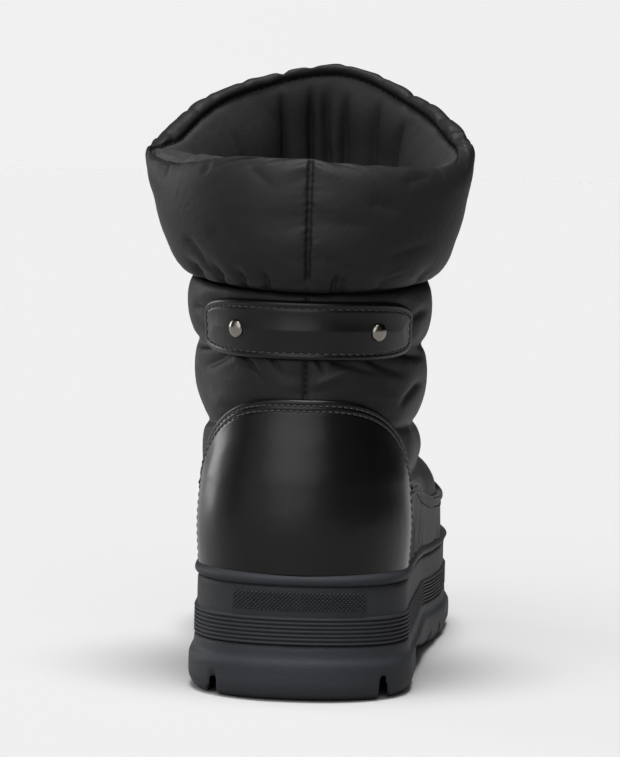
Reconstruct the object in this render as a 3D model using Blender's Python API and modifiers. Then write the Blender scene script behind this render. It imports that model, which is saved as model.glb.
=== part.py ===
"""Left winter boot: a padded nylon upper and cuff with leather trim, on a thick rubber sole.

The toe points along +Y, the wearer's inner side is +X, and the boot stands on z = 0.
Sizes are in millimetres, counted from the back of the heel, until a mesh is made in metres.
"""

from collections import namedtuple
from functools import lru_cache
from math import atan2, cos, pi, radians, sin

import bmesh
import bpy
import numpy as np
from mathutils import Matrix, Vector

MM = 0.001
GAP = 0.3
COLUMNS = 48

# Driving sizes.
SOLE_LENGTH = 280.0
UPPER_WALL = 5.0
LEATHER = 1.3
STRAP_THICKNESS = 2.2
INSOLE_THICKNESS = 4.0

# The part's origin, from the back of the heel: under the middle of the boot's box.
ORIGIN = Vector((-2.325, SOLE_LENGTH / 2.0, 0.0))

# Shares of the sole's height where one layer ends and the next begins.
OUTSOLE_SHARE = 0.435
MIDSOLE_SHARE = 0.905

# The sole's plan and side view: share of the length, half width, sideways swing and heights.
SoleStation = namedtuple("SoleStation", "along half_width swing bottom top")
SOLE_STATIONS = (
    SoleStation(0.00, 37.6, 0.0, 0.8, 44.5),
    SoleStation(0.06, 37.8, 0.0, 0.0, 44.5),
    SoleStation(0.15, 38.0, 0.0, 0.0, 44.5),
    SoleStation(0.28, 38.7, 0.9, 0.0, 44.2),
    SoleStation(0.43, 39.6, 2.0, 3.2, 41.6),
    SoleStation(0.57, 43.3, 1.9, 0.6, 39.2),
    SoleStation(0.62, 44.9, 1.8, 0.0, 38.8),
    SoleStation(0.70, 46.8, 2.0, 0.0, 38.4),
    SoleStation(0.78, 46.8, 3.2, 0.0, 38.4),
    SoleStation(0.90, 42.5, 5.5, 3.5, 40.4),
    SoleStation(1.00, 36.0, 7.0, 11.5, 45.0),
)
HEEL_REACH = 0.145
TOE_REACH = 0.26
END_POWER = 2.25

# Side walls: share of the layer's height, and how far it stands out from the sole's outline.
WallRow = namedtuple("WallRow", "share flare")
OUTSOLE_WALL = (
    WallRow(0.00, -1.6),
    WallRow(0.10, 1.0),
    WallRow(0.28, 2.3),
    WallRow(0.60, 2.0),
    WallRow(0.88, 0.9),
    WallRow(1.00, 0.2),
)
MIDSOLE_WALL = (
    WallRow(0.00, 0.4),
    WallRow(0.48, 0.4),
    WallRow(0.54, -0.4),
    WallRow(0.94, -0.4),
    WallRow(1.00, -1.2),
)

# Tapered channels cut up into the tread: centre, turn from across the boot, length and depth.
Channel = namedtuple("Channel", "x y turn length width depth")
TREAD_CHANNELS = (
    Channel(-29.8, 14.0, 90.0, 76.0, 3.8, 9.0),
    Channel(29.8, 14.0, 90.0, 76.0, 3.8, 9.0),
    Channel(-32.0, 141.0, -14.0, 56.0, 6.5, 6.5),
    Channel(36.0, 141.0, 14.0, 56.0, 6.5, 6.5),
    Channel(-32.0, 168.0, -14.0, 56.0, 6.5, 6.5),
    Channel(36.0, 168.0, 14.0, 56.0, 6.5, 6.5),
    Channel(-32.0, 196.0, -14.0, 56.0, 6.5, 6.5),
    Channel(40.0, 196.0, 14.0, 56.0, 6.5, 6.5),
    Channel(-28.0, 224.0, -14.0, 56.0, 6.5, 6.5),
    Channel(44.0, 224.0, 14.0, 56.0, 6.5, 6.5),
    Channel(5.0, 248.0, 0.0, 100.0, 6.0, 9.0),
)
CHANNEL_TAPER = 0.55

# Side view of the hollow under the arch, from the heel's breast to the ball: y and height.
ARCH_PROFILE = (
    (56.0, -5.0),
    (60.0, 11.8),
    (72.0, 11.2),
    (110.0, 6.2),
    (140.0, 2.4),
    (166.0, -0.5),
    (166.0, -5.0),
)
ARCH_HALF_LENGTH = 70.0

# Rings of the upper from the sole (level 0) to the cuff (level 1). Each runs from a point on the
# back seam to a point on the toe, vamp or shin, and its half widths are at four places between.
UpperRing = namedtuple(
    "UpperRing",
    "level back_y back_rise front_y front_rise heel waist ball toe heel_reach toe_reach",
)
UPPER_RINGS = (
    UpperRing(0.00, 3.2, 0.0, 276.8, 0.0, 35.2, 36.6, 43.7, 39.6, 0.145, 0.260),
    UpperRing(0.14, 2.2, 18.0, 277.4, 14.0, 36.2, 37.8, 44.4, 40.0, 0.145, 0.265),
    UpperRing(0.28, 3.2, 34.0, 270.5, 30.0, 35.6, 37.0, 37.6, 33.5, 0.160, 0.285),
    UpperRing(0.38, 5.4, 45.0, 254.5, 40.0, 35.4, 36.8, 35.4, 30.0, 0.190, 0.325),
    UpperRing(0.48, 7.8, 55.0, 228.0, 48.0, 35.8, 37.0, 34.6, 28.8, 0.230, 0.380),
    UpperRing(0.60, 9.6, 67.0, 197.0, 58.5, 36.9, 38.1, 35.2, 30.4, 0.300, 0.440),
    UpperRing(0.72, 10.2, 77.6, 169.0, 72.6, 38.5, 39.6, 37.4, 34.2, 0.390, 0.490),
    UpperRing(0.84, 10.2, 87.6, 147.0, 91.0, 40.6, 41.5, 40.7, 39.0, 0.460, 0.500),
    UpperRing(1.00, 9.4, 101.0, 131.0, 111.5, 43.0, 43.0, 43.0, 43.0, 0.500, 0.500),
)
HEEL_AT = 0.14
WAIST_AT = 0.42
BALL_AT = 0.70
TOE_AT = 0.88
LEVEL_STEPS = 25
RING_POWER = 2.1

# How far the sides of the leg's opening stand over to the outer side, from the back seam on.
LEG_LEAN = 1.25
LEAN_END = 0.5

# Quilting seams of the upper, as levels, with the swell of the wadding above each of them.
Quilt = namedtuple("Quilt", "seam swell")
QUILTS = (
    Quilt(0.28, 2.4),
    Quilt(0.48, 3.0),
    Quilt(0.785, 3.0),
    Quilt(1.00, 0.0),
)
LOWEST_SWELL = 1.6
SWELL_SHARPNESS = 0.65
FULL_QUILT = 0.14
TRIM_TURN = 0.95
QUILT_TURN = 1.30

# The mudguard's top edge: share of the way from heel to toe, and height above the rand.
GuardRow = namedtuple("GuardRow", "along rise")
GUARD_ROWS = (
    GuardRow(0.00, 28.5),
    GuardRow(0.16, 28.5),
    GuardRow(0.30, 26.5),
    GuardRow(0.45, 21.5),
    GuardRow(0.60, 17.5),
    GuardRow(0.72, 16.5),
    GuardRow(0.90, 20.0),
    GuardRow(1.00, 24.0),
)
GUARD_CLEARANCE = 0.006
GUARD_MARGIN = 0.055
GUARD_ROW_COUNT = 7

COUNTER_TOP = 105.0
COUNTER_TURN = 0.82
COUNTER_POWER = 3.1
COUNTER_COLUMNS = 6
COUNTER_SPLIT = 3
COUNTER_ROW_COUNT = 9

STRAP_HEIGHT = 128.8
STRAP_HALF = 10.4
STRAP_TURN = 0.945
STRAP_POWER = 5.0
STRAP_HALF_COLUMNS = 14
STRAP_ROW_COUNT = 5

RIVET_X = 25.0
RIVET_RADIUS = 3.25
RIVET_RISE = 1.9

# Rings of the cuff's outer face from its hem (level 0) to its rim (level 1). The corner power
# falls from an ellipse's 2 as the mouth flattens to two points at the sides of the leg.
CuffRing = namedtuple("CuffRing", "level half_width back_y front_y corner thickness")
CUFF_RINGS = (
    CuffRing(0.00, 45.2, 5.8, 134.0, 2.00, 8.0),
    CuffRing(0.12, 49.6, 1.8, 137.0, 1.95, 12.0),
    CuffRing(0.30, 52.8, 0.0, 138.0, 1.80, 13.0),
    CuffRing(0.60, 56.4, 0.8, 134.0, 1.55, 12.0),
    CuffRing(0.85, 59.2, 3.4, 126.0, 1.36, 9.5),
    CuffRing(1.00, 59.8, 6.0, 121.0, 1.30, 7.0),
)
CORNER_THICKENING = 1.25

# The wall of the cuff, cut across: level, and depth from the outer face (0) to the lining (1).
CuffPoint = namedtuple("CuffPoint", "level depth")
CUFF_SECTION = (
    CuffPoint(0.00, 0.40),
    CuffPoint(0.02, 0.10),
    CuffPoint(0.07, 0.00),
    CuffPoint(0.18, 0.00),
    CuffPoint(0.34, 0.00),
    CuffPoint(0.52, 0.00),
    CuffPoint(0.70, 0.00),
    CuffPoint(0.86, 0.00),
    CuffPoint(0.95, 0.06),
    CuffPoint(0.99, 0.28),
    CuffPoint(1.00, 0.55),
    CuffPoint(0.97, 0.86),
    CuffPoint(0.90, 1.00),
    CuffPoint(0.65, 1.00),
    CuffPoint(0.35, 1.00),
    CuffPoint(0.00, 1.00),
)

# Height of the cuff's rim round the leg, from the back seam by way of the inner side.
RimRow = namedtuple("RimRow", "degrees height")
RIM_ROWS = (
    RimRow(0.0, 189.5),
    RimRow(45.0, 187.5),
    RimRow(90.0, 195.5),
    RimRow(135.0, 212.0),
    RimRow(172.0, 223.8),
    RimRow(215.0, 214.5),
    RimRow(270.0, 191.5),
    RimRow(315.0, 191.0),
    RimRow(360.0, 189.5),
)


def curve(places, values):
    """Smooth function through a column of a table, flat wherever the column is flat."""
    places = np.array(places)
    values = np.array(values)
    steps = np.diff(places)
    slopes = np.diff(values) / steps
    tangents = np.zeros(len(places))
    tangents[0] = slopes[0]
    tangents[-1] = slopes[-1]
    for i in range(1, len(places) - 1):
        if slopes[i - 1] * slopes[i] > 0.0:
            tangents[i] = 2.0 / (1.0 / slopes[i - 1] + 1.0 / slopes[i])

    def value(place):
        i = int(np.clip(np.searchsorted(places, place) - 1, 0, len(steps) - 1))
        t = min(max((place - places[i]) / steps[i], 0.0), 1.0)
        start = (1.0 + 2.0 * t) * (1.0 - t) ** 2 * values[i]
        start += t * (1.0 - t) ** 2 * steps[i] * tangents[i]
        end = t * t * (3.0 - 2.0 * t) * values[i + 1]
        end += t * t * (t - 1.0) * steps[i] * tangents[i + 1]
        return float(start + end)

    return value


def columns_of(rows):
    """A smooth function of the first column for each other column of a table."""
    places = [row[0] for row in rows]
    return {name: curve(places, [getattr(row, name) for row in rows]) for name in rows[0]._fields[1:]}


SOLE = columns_of(SOLE_STATIONS)
RING = columns_of(UPPER_RINGS)
GUARD = columns_of(GUARD_ROWS)
CUFF = columns_of(CUFF_RINGS)
RIM = columns_of(RIM_ROWS)


def column_turn(column):
    """Angle of a column round the boot, from the back seam by way of the inner side."""
    return 2.0 * pi * column / COLUMNS


def rounded(distance, reach, power):
    """Share of the full width at a distance from a rounded end."""
    if distance >= reach:
        return 1.0
    return (1.0 - (1.0 - distance / reach) ** power) ** (1.0 / power)


def soft_step(start, end, value):
    """Smooth rise from 0 at start to 1 at end."""
    t = min(max((value - start) / (end - start), 0.0), 1.0)
    return t * t * (3.0 - 2.0 * t)


def sole_outline(turn):
    """Plan outline of the sole."""
    along = (1.0 - cos(turn)) / 2.0
    half = SOLE["half_width"](along)
    half *= rounded(along, HEEL_REACH, END_POWER)
    half *= rounded(1.0 - along, TOE_REACH, END_POWER)
    side = 1.0 if sin(turn) >= 0.0 else -1.0
    return np.array([SOLE["swing"](along) + side * half, along * SOLE_LENGTH])


def sole_height(y, share):
    """Height at a share of the sole's thickness."""
    along = min(max(y / SOLE_LENGTH, 0.0), 1.0)
    low = SOLE["bottom"](along)
    return low + share * (SOLE["top"](along) - low)


def sole_point(turn, share, flare):
    """Point on the sole's side wall, standing out from the outline by the flare."""
    step = 0.01
    spot = sole_outline(turn)
    run = sole_outline(turn + step) - sole_outline(turn - step)
    run /= np.linalg.norm(run)
    x = spot[0] + run[1] * flare
    y = spot[1] - run[0] * flare
    return np.array([x, y, sole_height(spot[1], share)])


def feather_height(y):
    """Height of the upper's lower edge, on the midsole."""
    return sole_height(y, MIDSOLE_SHARE) + GAP


@lru_cache(maxsize=None)
def ring_widths(level):
    """Half width along a ring of the upper."""
    widths = [RING[name](level) for name in ("heel", "waist", "ball", "toe")]
    return curve((HEEL_AT, WAIST_AT, BALL_AT, TOE_AT), widths)


def leg_lean(turn):
    """Sideways lean at the top of the upper, none at the back seam."""
    return LEG_LEAN * soft_step(0.0, LEAN_END, (1.0 - cos(turn)) / 2.0)


@lru_cache(maxsize=None)
def upper_form(turn, level):
    """Point on the smooth form under the upper's quilting."""
    along = (1.0 - cos(turn)) / 2.0
    back_y = RING["back_y"](level)
    front_y = RING["front_y"](level)
    y = back_y + along * (front_y - back_y)
    half = ring_widths(level)(along)
    half *= rounded(along, RING["heel_reach"](level), RING_POWER)
    half *= rounded(1.0 - along, RING["toe_reach"](level), RING_POWER)
    side = 1.0 if sin(turn) >= 0.0 else -1.0
    swing = SOLE["swing"](min(max(y / SOLE_LENGTH, 0.0), 1.0)) * (1.0 - level)
    swing -= leg_lean(turn) * level
    heel_z = feather_height(back_y) + RING["back_rise"](level)
    toe_z = feather_height(front_y) + RING["front_rise"](level)
    z = heel_z + along * (toe_z - heel_z)
    straight = feather_height(back_y) + along * (feather_height(front_y) - feather_height(back_y))
    z += (1.0 - level) ** 3 * (feather_height(y) - straight)
    return np.array([swing + side * half, y, z])


@lru_cache(maxsize=None)
def upper_normal(turn, level):
    """Outward direction of the upper's form, level at its two open edges."""
    step = 0.004
    low = max(level - step, 0.0)
    high = min(level + step, 1.0)
    round_it = upper_form(turn + step, level) - upper_form(turn - step, level)
    up_it = upper_form(turn, high) - upper_form(turn, low)
    normal = np.cross(round_it, up_it)
    normal[2] *= soft_step(0.0, 0.12, level) * soft_step(1.0, 0.90, level)
    return normal / np.linalg.norm(normal)


def level_at_height(turn, height):
    """Level where a column of the upper's form reaches a height."""
    low = 0.0
    high = 1.0
    for _ in range(30):
        middle = (low + high) / 2.0
        if upper_form(turn, middle)[2] < height:
            low = middle
        else:
            high = middle
    return (low + high) / 2.0


def rand_top(turn):
    """Height of the rand's top beside a column of the upper."""
    return sole_height(upper_form(turn, 0.0)[1], 1.0)


@lru_cache(maxsize=None)
def guard_level(turn):
    """Level of the mudguard's top edge."""
    along = (1.0 - cos(turn)) / 2.0
    return level_at_height(turn, rand_top(turn) + GUARD["rise"](along))


def quilt_swell(turn, level):
    """Swell of the wadding between the quilting seams, none under the leather trim."""
    off_back = abs(atan2(sin(turn), cos(turn)))
    free = soft_step(TRIM_TURN, QUILT_TURN, off_back)
    lower = guard_level(turn) + GUARD_MARGIN
    swell = LOWEST_SWELL
    for quilt in QUILTS:
        if lower < level < quilt.seam:
            height = quilt.seam - lower
            share = (level - lower) / height
            return free * swell * soft_step(0.0, FULL_QUILT, height) * sin(pi * share) ** SWELL_SHARPNESS
        lower = max(lower, quilt.seam)
        swell = quilt.swell
    return 0.0


def upper_point(turn, level, offset):
    """Point at a distance outside the upper's quilted face."""
    normal = upper_normal(turn, level)
    return upper_form(turn, level) + normal * (quilt_swell(turn, level) + offset)


def cuff_point(turn, level, depth):
    """Point in the cuff's wall, from its outer face to its lining."""
    inset = depth * CUFF["thickness"](level)
    half = CUFF["half_width"](level) - inset * CORNER_THICKENING
    back_y = CUFF["back_y"](level) + inset
    front_y = CUFF["front_y"](level) - inset
    bend = abs(cos(turn)) ** (2.0 / CUFF["corner"](level))
    bend = bend if cos(turn) >= 0.0 else -bend
    y = (back_y + front_y) / 2.0 - bend * (front_y - back_y) / 2.0
    hem = upper_form(turn, 1.0)[2] + GAP
    rim = RIM["height"](np.degrees(turn) % 360.0)
    x = half * sin(turn) - leg_lean(turn) * (1.0 + level)
    return np.array([x, y, hem + level * (rim - hem)])


def boot_collection(name):
    """New collection in the scene."""
    collection = bpy.data.collections.new(name)
    bpy.context.scene.collection.children.link(collection)
    return collection


def plain_material(name, color, roughness, metallic=0.0):
    """Principled material with one colour."""
    material = bpy.data.materials.new(name)
    material.use_nodes = True
    shader = material.node_tree.nodes["Principled BSDF"]
    shader.inputs["Base Color"].default_value = (*color, 1.0)
    shader.inputs["Roughness"].default_value = roughness
    shader.inputs["Metallic"].default_value = metallic
    return material


def lofted_object(name, rings, closed):
    """Loft through rings of points, closed on itself or capped across its first and last ring."""
    shape = bmesh.new()
    loops = [[shape.verts.new(Vector(point) * MM) for point in ring] for ring in rings]
    count = len(loops[0])
    pairs = list(zip(loops, loops[1:]))
    if closed:
        pairs.append((loops[-1], loops[0]))
    for low, high in pairs:
        for i in range(count):
            j = (i + 1) % count
            shape.faces.new((low[i], low[j], high[j], high[i]))
    if not closed:
        for loop in (loops[0], loops[-1]):
            shape.faces.new((loop[0], loop[1], loop[-1]))
            for i in range(1, count // 2 - 1):
                shape.faces.new((loop[i], loop[i + 1], loop[-i - 1], loop[-i]))
            middle = count // 2
            shape.faces.new((loop[middle - 1], loop[middle], loop[middle + 1]))
    return finished_object(name, shape)


def plate_object(name, inner, outer):
    """Plate between two grids of points."""
    shape = bmesh.new()
    below = [[shape.verts.new(Vector(point) * MM) for point in row] for row in inner]
    above = [[shape.verts.new(Vector(point) * MM) for point in row] for row in outer]
    rows = len(below)
    count = len(below[0])
    for i in range(rows - 1):
        for j in range(count - 1):
            for grid in (below, above):
                corners = (grid[i][j], grid[i][j + 1], grid[i + 1][j + 1], grid[i + 1][j])
                shape.faces.new(corners)
    border = [(0, j) for j in range(count)]
    border += [(i, count - 1) for i in range(1, rows)]
    border += [(rows - 1, j) for j in range(count - 2, -1, -1)]
    border += [(i, 0) for i in range(rows - 2, 0, -1)]
    for (i, j), (k, m) in zip(border, border[1:] + border[:1]):
        shape.faces.new((below[i][j], below[k][m], above[k][m], above[i][j]))
    return finished_object(name, shape)


def finished_object(name, shape):
    """Object from a closed mesh, with its faces turned out."""
    bmesh.ops.recalc_face_normals(shape, faces=shape.faces)
    mesh = bpy.data.meshes.new(name)
    shape.to_mesh(mesh)
    shape.free()
    mesh.shade_smooth()
    mesh.set_sharp_from_angle(angle=radians(40.0))
    return bpy.data.objects.new(name, mesh)


def make_outsole(cutters):
    """Tread with a flared edge, hollowed under the arch and cut into lugs by channels."""
    rings = []
    for row in OUTSOLE_WALL:
        share = row.share * OUTSOLE_SHARE
        rings.append([sole_point(column_turn(k), share, row.flare) for k in range(COLUMNS)])
    outsole = lofted_object("outsole", rings, closed=False)
    bars = [make_channel(number, channel) for number, channel in enumerate(TREAD_CHANNELS)]
    for cutter in (make_arch(), *bars):
        cutters.objects.link(cutter)
        cut = outsole.modifiers.new(cutter.name, "BOOLEAN")
        cut.operation = "DIFFERENCE"
        cut.object = cutter
    return outsole


def cutter_object(name, shape):
    """Object that cuts the tread and isn't rendered."""
    bmesh.ops.recalc_face_normals(shape, faces=shape.faces)
    mesh = bpy.data.meshes.new(name)
    shape.to_mesh(mesh)
    shape.free()
    cutter = bpy.data.objects.new(name, mesh)
    cutter.hide_render = True
    cutter.display_type = "WIRE"
    return cutter


def make_arch():
    """Prism that hollows the tread between the heel and the ball."""
    shape = bmesh.new()
    ends = []
    for x in (-ARCH_HALF_LENGTH, ARCH_HALF_LENGTH):
        ends.append([shape.verts.new((Vector((x, y, z)) - ORIGIN) * MM) for y, z in ARCH_PROFILE])
    count = len(ARCH_PROFILE)
    for end in ends:
        shape.faces.new(end)
    for i in range(count):
        j = (i + 1) % count
        shape.faces.new((ends[0][i], ends[0][j], ends[1][j], ends[1][i]))
    return cutter_object("arch_hollow", shape)


def make_channel(number, channel):
    """Tapered bar that cuts one channel of the tread."""
    shape = bmesh.new()
    bmesh.ops.create_cube(shape, size=1.0)
    for vertex in shape.verts:
        taper = CHANNEL_TAPER if vertex.co.z > 0.0 else 1.0
        vertex.co.x *= channel.length * MM
        vertex.co.y *= channel.width * taper * MM
        vertex.co.z *= 2.0 * channel.depth * MM
    cutter = cutter_object(f"tread_channel_{number}", shape)
    spot = Matrix.Translation((Vector((channel.x, channel.y, 0.0)) - ORIGIN) * MM)
    cutter.matrix_world = spot @ Matrix.Rotation(radians(channel.turn), 4, "Z")
    return cutter


def make_midsole():
    """Side wall of the sole, from the tread to the rand."""
    start = OUTSOLE_SHARE
    span = MIDSOLE_SHARE - OUTSOLE_SHARE
    rings = []
    for row in MIDSOLE_WALL:
        ring = [sole_point(column_turn(k), start + row.share * span, row.flare) for k in range(COLUMNS)]
        if row.share == 0.0:
            ring = [point + np.array([0.0, 0.0, GAP]) for point in ring]
        rings.append(ring)
    return lofted_object("midsole", rings, closed=False)


def make_rand():
    """Rounded lip on the midsole's edge, against the upper."""
    start = MIDSOLE_SHARE
    span = 1.0 - MIDSOLE_SHARE
    bulge = (WallRow(0.0, -0.6), WallRow(0.2, 0.0), WallRow(0.6, 0.1), WallRow(0.9, -0.6))
    rings = []
    for row in bulge:
        ring = [sole_point(column_turn(k), start + row.share * span, row.flare) for k in range(COLUMNS)]
        rings.append([point + np.array([0.0, 0.0, GAP * (row.share == 0.0)]) for point in ring])
    for share in (1.0, 0.5, 0.0):
        ring = []
        for k in range(COLUMNS):
            turn = column_turn(k)
            height = sole_height(upper_form(turn, 0.0)[1], start + share * span)
            level = level_at_height(turn, height)
            point = upper_point(turn, level, GAP)
            ring.append(np.array([point[0], point[1], height + GAP * (share == 0.0)]))
        rings.append(ring)
    return lofted_object("rand", rings, closed=True)


def make_insole():
    """Footbed on the midsole, inside the upper."""
    rings = []
    for rise in (0.0, INSOLE_THICKNESS):
        ring = []
        for k in range(COLUMNS):
            point = upper_point(column_turn(k), 0.0, -UPPER_WALL - 2.0 * GAP)
            ring.append(np.array([point[0], point[1], feather_height(point[1]) + rise]))
        rings.append(ring)
    return lofted_object("insole", rings, closed=False)


def make_upper():
    """Quilted wall from the sole to the cuff, open below and above."""
    levels = [i / LEVEL_STEPS for i in range(LEVEL_STEPS + 1)]
    inner_levels = levels[::-2] + [0.0]
    rings = []
    for level in levels:
        rings.append([upper_point(column_turn(k), level, 0.0) for k in range(COLUMNS)])
    for level in inner_levels:
        ring = []
        for k in range(COLUMNS):
            turn = column_turn(k)
            ring.append(upper_form(turn, level) - upper_normal(turn, level) * UPPER_WALL)
        rings.append(ring)
    return lofted_object("upper", rings, closed=True)


def make_cuff():
    """Padded collar on the upper's top edge."""
    rings = []
    for point in CUFF_SECTION:
        rings.append([cuff_point(column_turn(k), point.level, point.depth) for k in range(COLUMNS)])
    return lofted_object("cuff", rings, closed=True)


def trim_plate(name, turns, foot_of, top_of, row_count, thickness):
    """Leather plate that follows the upper between two edges, a gap outside it."""
    inner = []
    outer = []
    for turn in turns:
        foot = level_at_height(turn, foot_of(turn))
        top = level_at_height(turn, top_of(turn))
        levels = [foot + (top - foot) * i / (row_count - 1) for i in range(row_count)]
        inner.append([upper_point(turn, level, GAP) for level in levels])
        outer.append([upper_point(turn, level, GAP + thickness) for level in levels])
    return plate_object(name, inner, outer)


def make_heel_counter():
    """Heel panel with an arched top edge, standing on the rand."""
    def top(turn):
        share = abs(turn) / COUNTER_TURN
        foot = rand_top(turn)
        return foot + (COUNTER_TOP - foot) * (1.0 - share ** COUNTER_POWER) ** (1.0 / COUNTER_POWER)

    count = COUNTER_COLUMNS * COUNTER_SPLIT
    turns = [column_turn(k / COUNTER_SPLIT) for k in range(-count, count + 1)]
    return trim_plate(
        "heel_counter", turns, lambda turn: rand_top(turn) + GAP, top, COUNTER_ROW_COUNT, LEATHER
    )


def make_mudguard():
    """Band round the foot, from one edge of the heel counter to the other."""
    def top(turn):
        return rand_top(turn) + GUARD["rise"]((1.0 - cos(turn)) / 2.0)

    start = column_turn(COUNTER_COLUMNS) + GUARD_CLEARANCE
    turns = [column_turn(k) for k in range(COUNTER_COLUMNS + 1, COLUMNS - COUNTER_COLUMNS)]
    turns = [start] + turns + [2.0 * pi - start]
    return trim_plate(
        "mudguard", turns, lambda turn: rand_top(turn) + GAP, top, GUARD_ROW_COUNT, LEATHER
    )


def make_back_strap():
    """Strap with rounded ends across the back of the ankle."""
    def half(turn):
        share = abs(turn) / STRAP_TURN
        return STRAP_HALF * (1.0 - share ** STRAP_POWER) ** (1.0 / STRAP_POWER)

    count = STRAP_HALF_COLUMNS
    turns = [column_turn(k / 2.0) for k in range(-count, count + 1)]
    return trim_plate(
        "back_strap",
        turns,
        lambda turn: STRAP_HEIGHT - half(turn),
        lambda turn: STRAP_HEIGHT + half(turn),
        STRAP_ROW_COUNT,
        STRAP_THICKNESS,
    )


def make_rivet(name, side):
    """Domed rivet standing square on the strap's face."""
    low = 0.0
    high = pi / 2.0
    for _ in range(30):
        middle = (low + high) / 2.0
        spot = upper_point(middle, level_at_height(middle, STRAP_HEIGHT), GAP + STRAP_THICKNESS)
        if spot[0] < RIVET_X:
            low = middle
        else:
            high = middle
    turn = side * middle
    level = level_at_height(turn, STRAP_HEIGHT)
    seat = upper_point(turn, level, GAP + STRAP_THICKNESS + GAP)
    profile = bmesh.new()
    steps = 6
    points = []
    for i in range(steps + 1):
        angle = pi / 2.0 * i / steps
        points.append(Vector((RIVET_RADIUS * sin(angle), 0.0, RIVET_RISE * cos(angle))) * MM)
    points.append(Vector((0.0, 0.0, 0.0)))
    dots = [profile.verts.new(point) for point in points]
    for a, b in zip(dots, dots[1:]):
        profile.edges.new((a, b))
    mesh = bpy.data.meshes.new(name)
    profile.to_mesh(mesh)
    profile.free()
    rivet = bpy.data.objects.new(name, mesh)
    turned = rivet.modifiers.new("turned", "SCREW")
    turned.axis = "Z"
    turned.steps = 16
    turned.render_steps = 16
    turned.use_merge_vertices = True
    turned.merge_threshold = 0.00001
    rivet.location = Vector(seat) * MM
    rivet.rotation_mode = "QUATERNION"
    rivet.rotation_quaternion = Vector(upper_normal(turn, level)).to_track_quat("Z", "Y")
    return rivet


def main():
    """Build the boot, with its origin under the middle of its box."""
    for old in list(bpy.data.objects):
        bpy.data.objects.remove(old)
    boot = boot_collection("Winter boot")
    cutters = boot_collection("Tread cutters")
    middle = bpy.data.objects.new("boot_middle", None)
    middle.location = -ORIGIN * MM
    boot.objects.link(middle)

    rubber = plain_material("moulded rubber", (0.035, 0.036, 0.038), 0.75)
    nylon = plain_material("quilted nylon", (0.018, 0.018, 0.019), 0.60)
    leather = plain_material("smooth leather", (0.010, 0.010, 0.010), 0.30)
    felt = plain_material("insole felt", (0.025, 0.025, 0.026), 0.95)
    nickel = plain_material("nickel", (0.55, 0.52, 0.48), 0.25, 1.0)

    pieces = (
        (make_outsole(cutters), rubber),
        (make_midsole(), rubber),
        (make_rand(), rubber),
        (make_insole(), felt),
        (make_upper(), nylon),
        (make_cuff(), nylon),
        (make_mudguard(), leather),
        (make_heel_counter(), leather),
        (make_back_strap(), leather),
        (make_rivet("strap_rivet_lateral", -1.0), nickel),
        (make_rivet("strap_rivet_medial", 1.0), nickel),
    )
    for piece, material in pieces:
        piece.data.materials.append(material)
        piece.parent = middle
        boot.objects.link(piece)


main()
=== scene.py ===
"""Looks of a winter boot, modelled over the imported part.

Sizes are in millimetres, counted from the back of the heel, until a mesh is made in metres in
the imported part's frame: the toe along +Y, the wearer's inner side along +X, the floor at z = 0.
"""

from collections import namedtuple
from math import cos, pi, radians, sin

import bpy
import numpy as np
from mathutils import Euler, Matrix, Vector
from mathutils.kdtree import KDTree


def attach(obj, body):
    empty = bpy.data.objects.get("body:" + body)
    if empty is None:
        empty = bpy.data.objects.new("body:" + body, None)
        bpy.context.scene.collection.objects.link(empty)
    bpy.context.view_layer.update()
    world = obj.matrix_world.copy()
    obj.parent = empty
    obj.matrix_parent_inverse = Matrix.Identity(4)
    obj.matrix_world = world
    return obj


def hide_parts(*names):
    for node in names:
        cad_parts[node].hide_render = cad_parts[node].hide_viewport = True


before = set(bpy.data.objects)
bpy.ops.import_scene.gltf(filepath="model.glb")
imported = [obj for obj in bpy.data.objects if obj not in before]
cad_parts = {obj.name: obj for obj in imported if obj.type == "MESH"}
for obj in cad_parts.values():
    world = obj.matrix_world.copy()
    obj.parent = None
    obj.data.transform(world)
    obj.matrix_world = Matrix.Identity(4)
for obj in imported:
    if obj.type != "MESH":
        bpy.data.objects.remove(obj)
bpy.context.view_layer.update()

bl_info = {
    "name": "Winter boot looks",
    "version": (1, 0, 0),
    "blender": (4, 5, 0),
    "location": "3D View > Sidebar > Boot",
    "description": "Models the fabric, leather, rubber and thread of a winter boot",
    "category": "Mesh",
}

MM = 0.001
TINY = 1e-9

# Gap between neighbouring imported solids, and how much closer columns lie at the back seam.
GAP = 0.3
BACK_CLOSENESS = 0.5

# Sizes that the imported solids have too.
SOLE_LENGTH = 280.0
HEEL_BACK = np.array([2.325, -SOLE_LENGTH / 2.0, 0.0])
UPPER_WALL = 5.0
LEATHER = 1.3
STRAP_THICKNESS = 2.2
OUTSOLE_SHARE = 0.435
MIDSOLE_SHARE = 0.905

# Plan and side view of the sole: share of the length, half width, sideways swing, heights.
SOLE_STATIONS = (
    ("along", "half_width", "swing", "bottom", "top"),
    (0.00, 37.6, 0.0, 0.8, 44.5),
    (0.06, 37.8, 0.0, 0.0, 44.5),
    (0.15, 38.0, 0.0, 0.0, 44.5),
    (0.28, 38.7, 0.9, 0.0, 44.2),
    (0.43, 39.6, 2.0, 3.2, 41.6),
    (0.57, 43.3, 1.9, 0.6, 39.2),
    (0.62, 44.9, 1.8, 0.0, 38.8),
    (0.70, 46.8, 2.0, 0.0, 38.4),
    (0.78, 46.8, 3.2, 0.0, 38.4),
    (0.90, 42.5, 5.5, 3.5, 40.4),
    (1.00, 36.0, 7.0, 11.5, 45.0),
)

# Shares of the length over which the sole's ends are rounded, and how full they are.
HEEL_REACH = 0.145
TOE_REACH = 0.26
END_POWER = 2.25

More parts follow.
